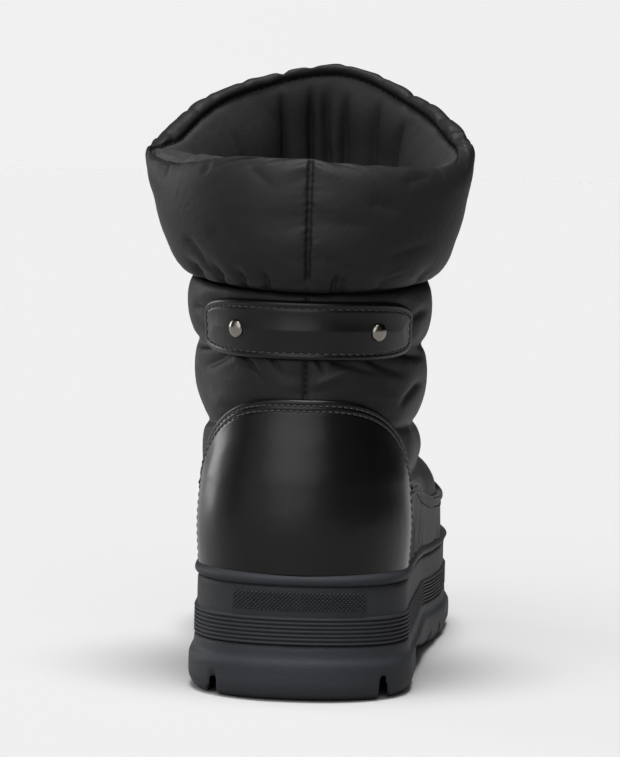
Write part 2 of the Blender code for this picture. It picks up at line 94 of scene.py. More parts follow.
# Rings of the upper's form from the sole (level 0) to the cuff (level 1).
UPPER_RINGS = (
    (
        "level", "back_y", "back_rise", "front_y", "front_rise",
        "heel", "waist", "ball", "toe", "heel_reach", "toe_reach",
    ),
    (0.00, 3.2, 0.0, 276.8, 0.0, 35.2, 36.6, 43.7, 39.6, 0.145, 0.260),
    (0.14, 2.2, 18.0, 277.4, 14.0, 36.2, 37.8, 44.4, 40.0, 0.145, 0.265),
    (0.28, 3.2, 34.0, 270.5, 30.0, 35.6, 37.0, 37.6, 33.5, 0.160, 0.285),
    (0.38, 5.4, 45.0, 254.5, 40.0, 35.4, 36.8, 35.4, 30.0, 0.190, 0.325),
    (0.48, 7.8, 55.0, 228.0, 48.0, 35.8, 37.0, 34.6, 28.8, 0.230, 0.380),
    (0.60, 9.6, 67.0, 197.0, 58.5, 36.9, 38.1, 35.2, 30.4, 0.300, 0.440),
    (0.72, 10.2, 77.6, 169.0, 72.6, 38.5, 39.6, 37.4, 34.2, 0.390, 0.490),
    (0.84, 10.2, 87.6, 147.0, 91.0, 40.6, 41.5, 40.7, 39.0, 0.460, 0.500),
    (1.00, 9.4, 101.0, 131.0, 111.5, 43.0, 43.0, 43.0, 43.0, 0.500, 0.500),
)

# Where along the upper its four widths lie, and how full its ends are.
WIDTH_PLACES = (0.14, 0.42, 0.70, 0.88)
RING_POWER = 2.1

# How far the sides of the leg's opening stand over to the outer side, from the back seam on.
LEG_LEAN = 1.25
LEAN_END = 0.5

# Rise of the mudguard's top edge over the rand, from heel to toe.
GUARD_ROWS = (
    ("along", "rise"),
    (0.00, 28.5),
    (0.16, 28.5),
    (0.30, 26.5),
    (0.45, 21.5),
    (0.60, 17.5),
    (0.72, 16.5),
    (0.90, 20.0),
    (1.00, 24.0),
)

# Heel counter, back strap and rivets: heights, angles from the back seam, and fullness of ends.
COUNTER_TOP = 105.0
COUNTER_TURN = 0.82
COUNTER_EDGE = pi / 4.0
COUNTER_POWER = 3.1
STRAP_HEIGHT = 128.8
STRAP_HALF = 10.4
STRAP_TURN = 0.945
STRAP_POWER = 5.0
RIVET_X = 25.0
RIVET_RADIUS = 3.25

# Rings of the cuff's outer face from its hem (level 0) to its rim (level 1).
CUFF_RINGS = (
    ("level", "half_width", "back_y", "front_y", "corner", "thickness"),
    (0.00, 45.2, 5.8, 134.0, 2.00, 8.0),
    (0.12, 49.6, 1.8, 137.0, 1.95, 12.0),
    (0.30, 52.8, 0.0, 138.0, 1.80, 13.0),
    (0.60, 56.4, 0.8, 134.0, 1.55, 12.0),
    (0.85, 59.2, 3.4, 126.0, 1.36, 9.5),
    (1.00, 59.8, 6.0, 121.0, 1.30, 7.0),
)
CORNER_THICKENING = 1.25

# Height of the cuff's rim round the leg, from the back seam on over the inner side.
RIM_ROWS = (
    ("degrees", "height"),
    (0.0, 189.5),
    (45.0, 187.5),
    (90.0, 195.5),
    (135.0, 212.0),
    (172.0, 223.8),
    (215.0, 214.5),
    (270.0, 191.5),
    (315.0, 191.0),
    (360.0, 189.5),
)


def spline(places, values, at):
    """Smooth values through a table, flat wherever it is flat; values may differ by point."""
    places = np.asarray(places, dtype=float)
    values = np.asarray(values, dtype=float)
    at = np.asarray(at, dtype=float)
    steps = np.diff(places)
    slopes = np.diff(values, axis=-1) / steps
    before = slopes[..., :-1]
    after = slopes[..., 1:]
    rising = before * after > 0.0
    mean = 2.0 * before * after / np.where(rising, before + after, 1.0)
    tangents = np.concatenate(
        [slopes[..., :1], np.where(rising, mean, 0.0), slopes[..., -1:]], axis=-1
    )
    i = np.clip(np.searchsorted(places, at) - 1, 0, len(steps) - 1)
    t = np.clip((at - places[i]) / steps[i], 0.0, 1.0)

    def pick(table, k):
        if table.ndim == 1:
            return table[k]
        return np.take_along_axis(table, k[..., None], axis=-1)[..., 0]

    start = (1.0 + 2.0 * t) * (1.0 - t) ** 2 * pick(values, i)
    start += t * (1.0 - t) ** 2 * steps[i] * pick(tangents, i)
    end = t * t * (3.0 - 2.0 * t) * pick(values, i + 1)
    end += t * t * (t - 1.0) * steps[i] * pick(tangents, i + 1)
    return start + end


class Table:
    """Columns of a table as smooth functions of its first column."""

    def __init__(self, rows):
        self.names = rows[0]
        self.rows = np.array(rows[1:], dtype=float)

    def __call__(self, name, at):
        column = self.names.index(name)
        return spline(self.rows[:, 0], self.rows[:, column], at)


SOLE = Table(SOLE_STATIONS)
RING = Table(UPPER_RINGS)
GUARD = Table(GUARD_ROWS)
CUFF = Table(CUFF_RINGS)
RIM = Table(RIM_ROWS)


def rounded(distance, reach, power):
    """Share of the full width at a distance from a rounded end."""
    near = np.clip(1.0 - distance / reach, 0.0, 1.0)
    return (1.0 - near ** power) ** (1.0 / power)


def soft_step(start, end, value):
    """Smooth rise from 0 at start to 1 at end."""
    t = np.clip((value - start) / (end - start), 0.0, 1.0)
    return t * t * (3.0 - 2.0 * t)


def along_of(turn):
    """Share of the way from heel to toe."""
    return (1.0 - np.cos(turn)) / 2.0


def side_of(turn):
    """1 on the inner side of the boot and -1 on the outer side."""
    return np.where(np.sin(turn) >= 0.0, 1.0, -1.0)


def off_back(turn):
    """Angle from the back seam, without its sign."""
    return np.abs(np.arctan2(np.sin(turn), np.cos(turn)))


def sole_outline(turn):
    """Plan outline of the sole."""
    along = along_of(turn)
    half = SOLE("half_width", along)
    half = half * rounded(along, HEEL_REACH, END_POWER)
    half = half * rounded(1.0 - along, TOE_REACH, END_POWER)
    return np.stack([SOLE("swing", along) + side_of(turn) * half, along * SOLE_LENGTH], axis=-1)


def sole_height(y, share):
    """Height at a share of the sole's thickness."""
    along = np.clip(y / SOLE_LENGTH, 0.0, 1.0)
    low = SOLE("bottom", along)
    return low + share * (SOLE("top", along) - low)


def sole_point(turn, share, flare):
    """Point on the sole's side wall, standing out from the outline by the flare."""
    step = 0.01
    spot = sole_outline(turn)
    run = sole_outline(turn + step) - sole_outline(turn - step)
    run = run / np.linalg.norm(run, axis=-1, keepdims=True)
    x = spot[..., 0] + run[..., 1] * flare
    y = spot[..., 1] - run[..., 0] * flare
    return np.stack([x, y, sole_height(spot[..., 1], share)], axis=-1)


def feather_height(y):
    """Height of the upper's lower edge, on the midsole."""
    return sole_height(y, MIDSOLE_SHARE) + GAP


def leg_lean(turn):
    """Sideways lean at the top of the upper, none at the back seam."""
    return LEG_LEAN * soft_step(0.0, LEAN_END, along_of(turn))


def upper_form(turn, level):
    """Point on the smooth form under the upper's quilting."""
    turn, level = np.broadcast_arrays(np.asarray(turn, float), np.asarray(level, float))
    along = along_of(turn)
    back_y = RING("back_y", level)
    front_y = RING("front_y", level)
    y = back_y + along * (front_y - back_y)
    widths = np.stack([RING(name, level) for name in ("heel", "waist", "ball", "toe")], axis=-1)
    half = spline(WIDTH_PLACES, widths, along)
    half = half * rounded(along, RING("heel_reach", level), RING_POWER)
    half = half * rounded(1.0 - along, RING("toe_reach", level), RING_POWER)
    swing = SOLE("swing", np.clip(y / SOLE_LENGTH, 0.0, 1.0)) * (1.0 - level)
    swing = swing - leg_lean(turn) * level
    heel_feather = feather_height(back_y)
    toe_feather = feather_height(front_y)
    heel_z = heel_feather + RING("back_rise", level)
    toe_z = toe_feather + RING("front_rise", level)
    straight = heel_feather + along * (toe_feather - heel_feather)
    z = heel_z + along * (toe_z - heel_z)
    z = z + (1.0 - level) ** 3 * (feather_height(y) - straight)
    return np.stack([swing + side_of(turn) * half, y, z], axis=-1)


# Levels over which the upper's outward direction turns level at its two open edges.
FOOT_LEVEL = 0.12
TOP_LEVEL = 0.90


def upper_normal(turn, level):
    """Outward direction of the upper's form, level at its two open edges."""
    step = 0.004
    level = np.asarray(level, float)
    low = np.maximum(level - step, 0.0)
    high = np.minimum(level + step, 1.0)
    round_it = upper_form(turn + step, level) - upper_form(turn - step, level)
    up_it = upper_form(turn, high) - upper_form(turn, low)
    normal = np.cross(round_it, up_it)
    normal[..., 2] *= soft_step(0.0, FOOT_LEVEL, level) * soft_step(1.0, TOP_LEVEL, level)
    return normal / np.linalg.norm(normal, axis=-1, keepdims=True)


# Halvings of the upper's height that find a level to within a thousandth of a millimetre.
HALVINGS = 24


def level_at_height(turn, height):
    """Level where a column of the upper's form reaches a height, found by halving."""
    turn, height = np.broadcast_arrays(np.asarray(turn, float), np.asarray(height, float))
    low = np.zeros(turn.shape)
    high = np.ones(turn.shape)
    for _ in range(HALVINGS):
        middle = (low + high) / 2.0
        under = upper_form(turn, middle)[..., 2] < height
        low = np.where(under, middle, low)
        high = np.where(under, high, middle)
    return (low + high) / 2.0


def rand_top(turn):
    """Height of the rand's top beside a column of the upper."""
    return sole_height(upper_form(turn, 0.0)[..., 1], 1.0)


def guard_top(turn):
    """Height of the mudguard's top edge."""
    return rand_top(turn) + GUARD("rise", along_of(turn))


def counter_top(turn):
    """Height of the heel counter's arched top edge."""
    share = np.clip(off_back(turn) / COUNTER_TURN, 0.0, 1.0)
    foot = rand_top(turn)
    return foot + (COUNTER_TOP - foot) * (1.0 - share ** COUNTER_POWER) ** (1.0 / COUNTER_POWER)


def strap_half(turn):
    """Half height of the back strap at an angle from the back seam."""
    share = np.clip(off_back(turn) / STRAP_TURN, 0.0, 1.0)
    return STRAP_HALF * (1.0 - share ** STRAP_POWER) ** (1.0 / STRAP_POWER)


def cuff_point(turn, level, depth):
    """Point in the cuff's wall, from its outer face (depth 0) to its lining (depth 1)."""
    inset = depth * CUFF("thickness", level)
    half = CUFF("half_width", level) - inset * CORNER_THICKENING
    back_y = CUFF("back_y", level) + inset
    front_y = CUFF("front_y", level) - inset
    bend = np.sign(np.cos(turn)) * np.abs(np.cos(turn)) ** (2.0 / CUFF("corner", level))
    y = (back_y + front_y) / 2.0 - bend * (front_y - back_y) / 2.0
    hem = upper_form(turn, 1.0)[..., 2] + GAP
    rim = RIM("height", np.degrees(turn) % 360.0)
    x = half * np.sin(turn) - leg_lean(turn) * (1.0 + level)
    return np.stack([x, y, hem + level * (rim - hem)], axis=-1)


def size(name):
    """Size that the user can change, in millimetres."""
    return getattr(bpy.context.scene.boot_sizes, name) / MM


def points_of(piece):
    """Vertices of a piece, in millimetres from the back of the heel."""
    points = np.empty(len(piece.data.vertices) * 3)
    piece.data.vertices.foreach_get("co", points)
    return points.reshape(-1, 3) / MM - HEEL_BACK


def set_points(piece, points):
    """Move the vertices of a piece, given in millimetres from the back of the heel."""
    piece.data.vertices.foreach_set("co", ((points + HEEL_BACK) * MM).ravel())
    piece.data.update()


def normals_of(piece):
    """Outward direction at each vertex of a piece."""
    normals = np.empty(len(piece.data.vertices) * 3)
    piece.data.vertices.foreach_get("normal", normals)
    return normals.reshape(-1, 3)


def lengths(line):
    """Distance along a line of points, from its first point to each."""
    return np.concatenate([[0.0], np.cumsum(np.linalg.norm(np.diff(line, axis=0), axis=1))])


def along_line(at, far, columns):
    """Columns of values that are known at some distances along a line, at other distances."""
    return np.stack([np.interp(at, far, column) for column in columns.T], axis=-1)


def alone():
    """Leave edit mode with nothing selected."""
    if bpy.context.object and bpy.context.object.mode != "OBJECT":
        bpy.ops.object.mode_set(mode="OBJECT")
    bpy.ops.object.select_all(action="DESELECT")


def pick_only(piece):
    """Select one piece and make it the active one."""
    alone()
    piece.select_set(True)
    bpy.context.view_layer.objects.active = piece


def named_primitive(name):
    """Give the primitive that was just added its name."""
    piece = bpy.context.object
    piece.name = name
    piece.data.name = name
    return piece


def face_out(piece):
    """Turn all faces of a closed piece outwards."""
    pick_only(piece)
    bpy.ops.object.mode_set(mode="EDIT")
    bpy.ops.mesh.select_all(action="SELECT")
    bpy.ops.mesh.normals_make_consistent(inside=False)
    bpy.ops.object.mode_set(mode="OBJECT")


def column_turns(columns):
    """Turns of the columns round a piece, closer together at the back seam."""
    even = 2.0 * pi * np.arange(columns) / columns
    return even - BACK_CLOSENESS * np.sin(even)


def hoop(name, columns, rows, place):
    """Torus primitive laid over a closed section that runs all round the boot."""
    alone()
    bpy.ops.mesh.primitive_torus_add(major_segments=columns, minor_segments=rows)
    piece = named_primitive(name)
    column, row = np.divmod(np.arange(columns * rows), rows)
    set_points(piece, place(column_turns(columns)[column], row))
    face_out(piece)
    bpy.ops.object.shade_smooth()
    return piece


def plate(name, columns, rows, place):
    """Grid primitive laid over a surface and extruded to its second face."""
    alone()
    bpy.ops.mesh.primitive_grid_add(x_subdivisions=columns, y_subdivisions=rows, size=2.0)
    piece = named_primitive(name)
    flat = np.empty(len(piece.data.vertices) * 3)
    piece.data.vertices.foreach_get("co", flat)
    flat = flat.reshape(-1, 3)
    count = len(flat)
    bpy.ops.object.mode_set(mode="EDIT")
    bpy.ops.mesh.select_all(action="SELECT")
    bpy.ops.mesh.extrude_region_move()
    bpy.ops.object.mode_set(mode="OBJECT")
    inner, outer = place((flat[:, 0] + 1.0) / 2.0, (flat[:, 1] + 1.0) / 2.0)
    if len(piece.data.vertices) != 2 * count:
        raise RuntimeError(f"{name}: the plate has no second face")
    set_points(piece, np.concatenate([inner, outer]))
    face_out(piece)
    bpy.ops.object.shade_smooth()
    return piece


def mesh_piece(name, points, faces):
    """Closed piece from its points, in millimetres from the back of the heel, and its faces."""
    mesh = bpy.data.meshes.new(name)
    mesh.from_pydata(((np.asarray(points) + HEEL_BACK) * MM).tolist(), [], faces)
    piece = bpy.data.objects.new(name, mesh)
    bpy.context.scene.collection.objects.link(piece)
    face_out(piece)
    return piece


def wall_faces(first, rings, count):
    """Faces of a wall through rings of points, counted from the first point on."""
    faces = []
    for low in range(first, first + (rings - 1) * count, count):
        for i in range(count):
            j = (i + 1) % count
            faces.append((low + i, low + j, low + count + j, low + count + i))
    return faces


def loft(name, rings):
    """Wall through rings of points, closed across its first and last ring."""
    count = len(rings[0])
    middle = count // 2
    faces = wall_faces(0, len(rings), count)
    for first in (0, (len(rings) - 1) * count):
        loop = range(first, first + count)
        faces.append((loop[0], loop[1], loop[-1]))
        for i in range(1, middle - 1):
            faces.append((loop[i], loop[i + 1], loop[-i - 1], loop[-i]))
        faces.append((loop[middle - 1], loop[middle], loop[middle + 1]))
    piece = mesh_piece(name, np.concatenate(rings), faces)
    bpy.ops.object.shade_smooth()
    return piece


def apply_modifier(piece, kind, **settings):
    """Add a modifier with its settings and apply it."""
    pick_only(piece)
    modifier = piece.modifiers.new(kind.title(), kind)
    for name, value in settings.items():
        setattr(modifier, name, value)
    bpy.ops.object.modifier_apply(modifier=modifier.name)


# Unevenness of a fabric: how many waves are added up, and the girth that they run round.
NOISE_WAVES = 14
NOISE_GIRTH = 260.0


def soft_noise(turn, height, wave, seed):
    """Smooth seeded unevenness of a fabric, about -1 to 1, with waves of a given length."""
    draw = np.random.default_rng(seed)
    total = np.zeros(np.broadcast(turn, height).shape)
    for _ in range(NOISE_WAVES):
        waves_round = np.round(draw.normal(0.0, NOISE_GIRTH / (wave * 2.0 * pi)) * 2.0)
        waves_up = draw.normal(0.0, 2.0 * pi / wave)
        total = total + np.sin(waves_round * turn + waves_up * height + draw.uniform(0.0, 2.0 * pi))
    return total / NOISE_WAVES ** 0.5


# Cloth of the padded pieces, simulated at a larger scale than the boot's.
SIM_SCALE = 20.0
SIM_FRAMES = 20
CLOTH = {
    "quality": 6,
    "mass": 0.15,
    "air_damping": 1.0,
    "tension_stiffness": 12.0,
    "compression_stiffness": 12.0,
    "shear_stiffness": 4.0,
    "bending_stiffness": 0.3,
    "vertex_group_mass": "held",
    "pin_stiffness": 1.0,
    "vertex_group_shrink": "loose",
    "shrink_min": 0.0,
    "use_pressure": True,
}


def swell(piece, held, loose, growth, pressure, cap):
    """Fill a fabric with wadding: cloth cut larger than its seams, blown out between them."""
    start = points_of(piece)
    set_points(piece, (start + HEEL_BACK) * SIM_SCALE - HEEL_BACK)
    for name, weights in (("held", held), ("loose", loose)):
        group = piece.vertex_groups.new(name=name)
        for i in np.flatnonzero(weights > 0.0):
            group.add([int(i)], float(weights[i]), "REPLACE")
    cloth = piece.modifiers.new("wadding", "CLOTH")
    for name, value in CLOTH.items():
        setattr(cloth.settings, name, value)
    cloth.settings.shrink_max = -growth
    cloth.settings.uniform_pressure_force = pressure
    cloth.settings.effector_weights.gravity = 0.0
    cloth.collision_settings.use_collision = False
    cloth.point_cache.frame_start = 1
    cloth.point_cache.frame_end = SIM_FRAMES
    scene = bpy.context.scene
    for step in range(1, SIM_FRAMES + 1):
        scene.frame_set(step)
    pick_only(piece)
    bpy.ops.object.modifier_apply(modifier=cloth.name)
    scene.frame_set(1)
    move = (points_of(piece) + HEEL_BACK) / SIM_SCALE - HEEL_BACK - start
    far = np.linalg.norm(move, axis=1, keepdims=True)
    move *= np.minimum(1.0, cap / np.maximum(far, TINY))
    set_points(piece, start + move)
    piece.vertex_groups.clear()


# Rows round the cuff's wall: level, and depth from the outer face (0) to the lining (1).
CUFF_SECTION = (
    ("row", "level", "depth"),
    (0.0, 0.02, 0.10),
    (4.0, 0.10, 0.00),
    (36.0, 0.90, 0.00),
    (39.0, 0.97, 0.12),
    (42.0, 1.00, 0.50),
    (45.0, 0.97, 0.88),
    (48.0, 0.90, 1.00),
    (68.0, 0.02, 1.00),
    (70.0, 0.00, 0.70),
    (72.0, 0.02, 0.10),
)
CUFF_COLUMNS = 240
CUFF_ROW_COUNT = 72
HEM_ROW = 1
CORNER_ROW = 12
CUFF_FACE_ROW = 36
RIM_SEAM_ROW = 48
LINING_HELD_ROW = 60
HEM_HELD_ROW = 68
CUFF_WALL = Table(CUFF_SECTION)

# The rim round the leg: row of the wall where it starts, and how far over it its seam lies.
RIM_SEAM = Table(
    (
        ("degrees", "start", "over"),
        (0.0, 36.0, 0.80),
        (40.0, 36.0, 0.75),
        (62.0, 36.0, 0.50),
        (80.0, 36.0, 0.70),
        (110.0, 36.0, 1.0),
        (180.0, 36.0, 1.0),
        (245.0, 36.0, 1.0),
        (262.0, 35.0, 0.75),
        (280.0, 32.5, 0.40),
        (300.0, 31.0, 0.36),
        (318.0, 33.0, 0.40),
        (335.0, 35.5, 0.62),
        (350.0, 36.0, 0.78),
        (360.0, 36.0, 0.80),
    )
)

# Gathers of the cuff's hem: degrees from the back seam, depth and half width.
Gather = namedtuple("Gather", "degrees depth half_width")
HEM_GATHERS = (
    Gather(-58.0, 3.0, 2.4),
    Gather(-42.5, 2.6, 1.5),
    Gather(-30.0, 2.4, 1.4),
    Gather(-18.5, 2.4, 1.3),
    Gather(12.0, 2.6, 1.4),
    Gather(16.0, 2.0, 1.4),
    Gather(33.0, 0.7, 1.6),
    Gather(57.0, 1.0, 2.0),
)


def cuff_rows(turn, row):
    """Level and depth in the cuff's wall, with the rim's seam on a row of its own."""
    degrees = np.degrees(turn) % 360.0
    start = RIM_SEAM("start", degrees)
    over = RIM_SEAM("over", degrees)
    seam = start + (RIM_SEAM_ROW - CUFF_FACE_ROW) * over
    face = row * start / CUFF_FACE_ROW
    rim = start + (row - CUFF_FACE_ROW) * over
    lining = seam + (row - RIM_SEAM_ROW) * (HEM_HELD_ROW - seam) / (HEM_HELD_ROW - RIM_SEAM_ROW)
    place = np.where(row <= CUFF_FACE_ROW, face, np.where(row <= RIM_SEAM_ROW, rim, lining))
    place = np.where(row >= HEM_HELD_ROW, row, place)
    return CUFF_WALL("level", place), CUFF_WALL("depth", place)


# Folds of the cuff's loose lining at the front of the leg: degrees, depth and half width.
LINING_FOLDS = (
    Gather(196.0, 3.0, 0.9),
    Gather(182.0, 4.6, 1.5),
    Gather(176.5, 5.0, 1.9),
    Gather(166.0, 3.6, 1.3),
    Gather(151.0, 2.6, 2.0),
    Gather(136.0, 1.6, 1.4),
)

# Radius that turns angles round the leg into lengths.
CUFF_RADIUS = 50.0

# Rows over which the hem's gathers and the lining's folds fade, and how near them cloth is held.
HEM_GATHER_ROWS = 9.0
LINING_FOLD_ROWS = 9.0
GATHER_HELD = 0.75
FOLD_HELD = 0.8

# How far the cuff starts off its form: slack, unevenness, and seams that are drawn in.
CUFF_START = -1.0
CUFF_UNEVEN = 0.3
CUFF_WAVE = 8.0
CUFF_SEED = 3
BACK_SEAM_DRAW = 0.8
BACK_SEAM_DIP = 0.9
BACK_DIP_TOP = (44.0, 36.0)
BACK_DIP_FOOT = (0.0, 8.0)
RIM_SEAM_DRAW = 2.3

# How the cuff swells, and where its cloth is cut loose: share of the growth, rows and reach.
CUFF_GROWTH = 0.16
CUFF_PRESSURE = 11.0
CUFF_CAP = 7.0
FACE_LOOSE = 0.16
INNER_LOOSE = 0.4
HEM_LOOSE = 0.22
HEM_LOOSE_ROWS = (12.0, 2.0)
SEAM_LOOSE_REACH = (7.0, 1.0)
SEAM_LOOSE_ROWS = (31.0, 20.0)
RIM_LOOSE_REACH = (20.0, 50.0)
LINING_LOOSE_REACH = (55.0, 18.0)


def gathered(turn, gathers):
    """Depth of gathers round the leg, and how near each point is to one, from 0 to 1."""
    depth = np.zeros(len(turn))
    nearest = np.zeros(len(turn))
    for gather in gathers:
        across = np.radians(gather.degrees) - turn
        across = np.arctan2(np.sin(across), np.cos(across)) * CUFF_RADIUS
        near = np.exp(-((across / gather.half_width) ** 2))
        depth += gather.depth * near
        nearest = np.maximum(nearest, near)
    return depth, nearest


def make_cuff():
    """Padded collar: gathered hem, puckered back seam, rolled rim and loose lining."""
    def place(turn, row):
        return cuff_point(turn, *cuff_rows(turn, row))

    cuff = hoop("padded_cuff", CUFF_COLUMNS, CUFF_ROW_COUNT, place)
    column, row = np.divmod(np.arange(CUFF_COLUMNS * CUFF_ROW_COUNT), CUFF_ROW_COUNT)
    turn = column_turns(CUFF_COLUMNS)[column]
    points = points_of(cuff)
    normals = normals_of(cuff)
    face = row < CUFF_FACE_ROW
    rim = (row >= CUFF_FACE_ROW) & (row < RIM_SEAM_ROW)
    lining = (row > RIM_SEAM_ROW) & (row < LINING_HELD_ROW)
    back_seam = (column == 0) & (row < RIM_SEAM_ROW)
    rim_seam = row == RIM_SEAM_ROW
    off_side = np.abs(off_back(turn) - pi / 2.0)
    corner = np.isclose(off_side, off_side.min()) & (row >= CORNER_ROW) & (row < RIM_SEAM_ROW)
    hem = (row <= HEM_ROW) | (row >= HEM_HELD_ROW)
    held = back_seam | rim_seam | hem | (row >= LINING_HELD_ROW) | corner

    uneven = CUFF_UNEVEN * soft_noise(turn, points[:, 2], CUFF_WAVE, CUFF_SEED)
    offset = np.where(held, 0.0, CUFF_START + uneven)
    dip = soft_step(*BACK_DIP_TOP, row) * soft_step(*BACK_DIP_FOOT, row)
    offset[back_seam] = -BACK_SEAM_DRAW - BACK_SEAM_DIP * dip[back_seam]
    offset[rim_seam] = -RIM_SEAM_DRAW
    depth, near = gathered(turn, HEM_GATHERS)
    at_hem = soft_step(HEM_GATHER_ROWS, HEM_ROW, row) * face
    offset -= depth * at_hem
    held |= near * at_hem > GATHER_HELD
    depth, near = gathered(turn, LINING_FOLDS)
    at_lining = soft_step(RIM_SEAM_ROW, RIM_SEAM_ROW + LINING_FOLD_ROWS, row) * lining
    offset -= depth * at_lining
    held |= near * at_lining > FOLD_HELD
    set_points(cuff, points + normals * offset[:, None])

    from_back = off_back(turn) * CUFF_RADIUS
    from_front = (pi - off_back(turn)) * CUFF_RADIUS
    at_seam = soft_step(*SEAM_LOOSE_REACH, from_back) * soft_step(*SEAM_LOOSE_ROWS, row)
    loose = np.where(face, FACE_LOOSE, INNER_LOOSE)
    loose = np.maximum(loose, HEM_LOOSE * face * soft_step(*HEM_LOOSE_ROWS, row))
    loose = np.maximum(loose, face * at_seam)
    loose = np.maximum(loose, rim * soft_step(*RIM_LOOSE_REACH, from_back))
    loose = np.maximum(loose, lining * soft_step(*LINING_LOOSE_REACH, from_front))
    swell(cuff, held.astype(float), loose, CUFF_GROWTH, CUFF_PRESSURE, CUFF_CAP)
    return cuff


def paint_lining_lighter(cuff, material):
    """Give the cuff's lining, from the rim's seam down, a material of its own: the same nylon in a lighter
    colour, painted light that stands in for the light falling inside the cuff.
    """
    cuff.data.materials.append(material)
    for face in cuff.data.polygons:
        rows = [vertex % CUFF_ROW_COUNT for vertex in face.vertices]
        face.material_index = int(min(rows) >= RIM_SEAM_ROW and max(rows) <= HEM_HELD_ROW)


# Creases on the faces seen from behind: from (x, z) to (x, z), depth of the trough, half width.
Crease = namedtuple("Crease", "x z to_x to_z depth half_width")
CUFF_CREASES = (
    Crease(24.0, 174.0, 32.0, 170.5, 1.1, 2.6),
    Crease(35.0, 181.5, 42.0, 183.5, 0.8, 2.0),
    Crease(13.0, 167.0, 22.0, 165.5, 0.5, 2.0),
    Crease(-33.0, 161.0, -23.0, 156.5, 0.8, 3.0),
    Crease(-43.0, 158.0, -34.0, 147.5, 1.5, 1.5),
    Crease(8.0, 154.0, 30.0, 150.5, 0.6, 1.3),
    Crease(30.0, 156.0, 44.0, 160.5, 0.7, 2.0),
    Crease(-20.0, 184.0, -12.0, 178.0, 0.5, 2.0),
)
UPPER_CREASES = (
    Crease(-22.5, 119.0, -14.5, 110.5, 1.9, 1.08),
    Crease(-12.0, 119.0, -8.0, 112.5, 1.4, 0.9),
    Crease(4.0, 119.0, 7.5, 113.5, 1.4, 0.9),
    Crease(10.0, 118.5, 25.0, 114.0, 2.0, 1.08),
    Crease(4.5, 110.5, 21.0, 117.0, -1.1, 1.26),
    Crease(22.0, 119.0, 34.0, 112.5, 1.9, 1.17),
    Crease(-28.0, 119.5, -37.0, 112.5, 2.0, 1.26),
    Crease(-33.0, 122.0, -41.0, 119.5, 2.0, 1.17),
    Crease(32.0, 121.0, 41.0, 117.0, 2.0, 1.17),
    Crease(-40.0, 110.0, -33.0, 102.5, 1.6, 1.35),
    Crease(39.0, 108.0, 32.5, 101.0, 1.6, 1.35),
    Crease(-40.5, 134.0, -34.0, 130.5, 1.6, 1.44),
    Crease(40.0, 134.5, 34.5, 131.0, 1.4, 1.44),
)

# Puckers beside the cuff's back seam: heights and pitch, then how far each may differ.
PUCKER_SEED = 21
PUCKER_FOOT = 146.5
PUCKER_TOP = 187.0
PUCKER_PITCH = 2.4
PUCKER_SHIFT = 0.7
PUCKER_START = 0.4
PUCKER_REACH = (2.0, 4.5)
PUCKER_DEPTH = (0.12, 0.35)
PUCKER_SLANT = 1.6
PUCKER_HALF = 0.75


def seam_puckers():
    """Short creases that run out from the cuff's back seam on both sides."""
    draw = np.random.default_rng(PUCKER_SEED)
    creases = []
    for side in (-1.0, 1.0):
        for z in np.arange(PUCKER_FOOT, PUCKER_TOP, PUCKER_PITCH):
            z = z + draw.uniform(-PUCKER_SHIFT, PUCKER_SHIFT)
            end = side * draw.uniform(*PUCKER_REACH)
            depth = draw.uniform(*PUCKER_DEPTH)
            end_z = z + draw.uniform(-PUCKER_SLANT, PUCKER_SLANT)
            creases.append(Crease(side * PUCKER_START, z, end, end_z, depth, PUCKER_HALF))
    return creases


# Creases lie on faces turned to the heel. They fade past a share of their run.
CREASE_FACING = 0.05
CREASE_REACH = 70.0
CREASE_FADE = (1.15, 0.35)
CREASE_POWER = 1.5


def press_creases(piece, creases):
    """Press soft troughs into the outer face of a padded piece, on the side of the heel."""
    points = points_of(piece)
    normals = normals_of(piece)
    outer = (normals[:, 1] < CREASE_FACING) & (points[:, 1] < CREASE_REACH)
    depth = np.zeros(len(points))
    for crease in creases:
        run = np.array([crease.to_x - crease.x, crease.to_z - crease.z])
        off = points[:, [0, 2]] - np.array([crease.x, crease.z])
        share = np.clip(off @ run / (run @ run), 0.0, 1.0)
        far = np.linalg.norm(off - share[:, None] * run, axis=1)
        trough = np.exp(-np.abs(far / crease.half_width) ** CREASE_POWER)
        depth += crease.depth * soft_step(*CREASE_FADE, share) * trough
    set_points(piece, points - normals * (depth * outer)[:, None])


# A narrow trough on a piece: its points, the way out, depth, half width and fade at its ends.
Trough = namedtuple("Trough", "line out depth half_width fade")
TROUGH_STEP = 0.4


def press_troughs(piece, troughs):
    """Press narrow troughs along lines into a piece."""
    spots = []
    outs = []
    depths = []
    halves = []
    for trough in troughs:
        far = lengths(trough.line)
        at = np.arange(0.0, far[-1], TROUGH_STEP)
        spots.append(along_line(at, far, trough.line))
        outs.append(along_line(at, far, trough.out))
        depths.append(trough.depth * soft_step(0.0, trough.fade, np.minimum(at, far[-1] - at)))
        halves.append(np.full(len(at), trough.half_width))
    spots = np.concatenate(spots)
    tree = KDTree(len(spots))
    for i, spot in enumerate(spots):
        tree.insert(spot, i)
    tree.balance()
    points = points_of(piece)
    hits = [tree.find(point) for point in points]
    index = np.array([hit[1] for hit in hits])
    far = np.array([hit[2] for hit in hits])
    press = np.concatenate(depths)[index] * np.exp(-((far / np.concatenate(halves)[index]) ** 2))
    set_points(piece, points - np.concatenate(outs)[index] * press[:, None])


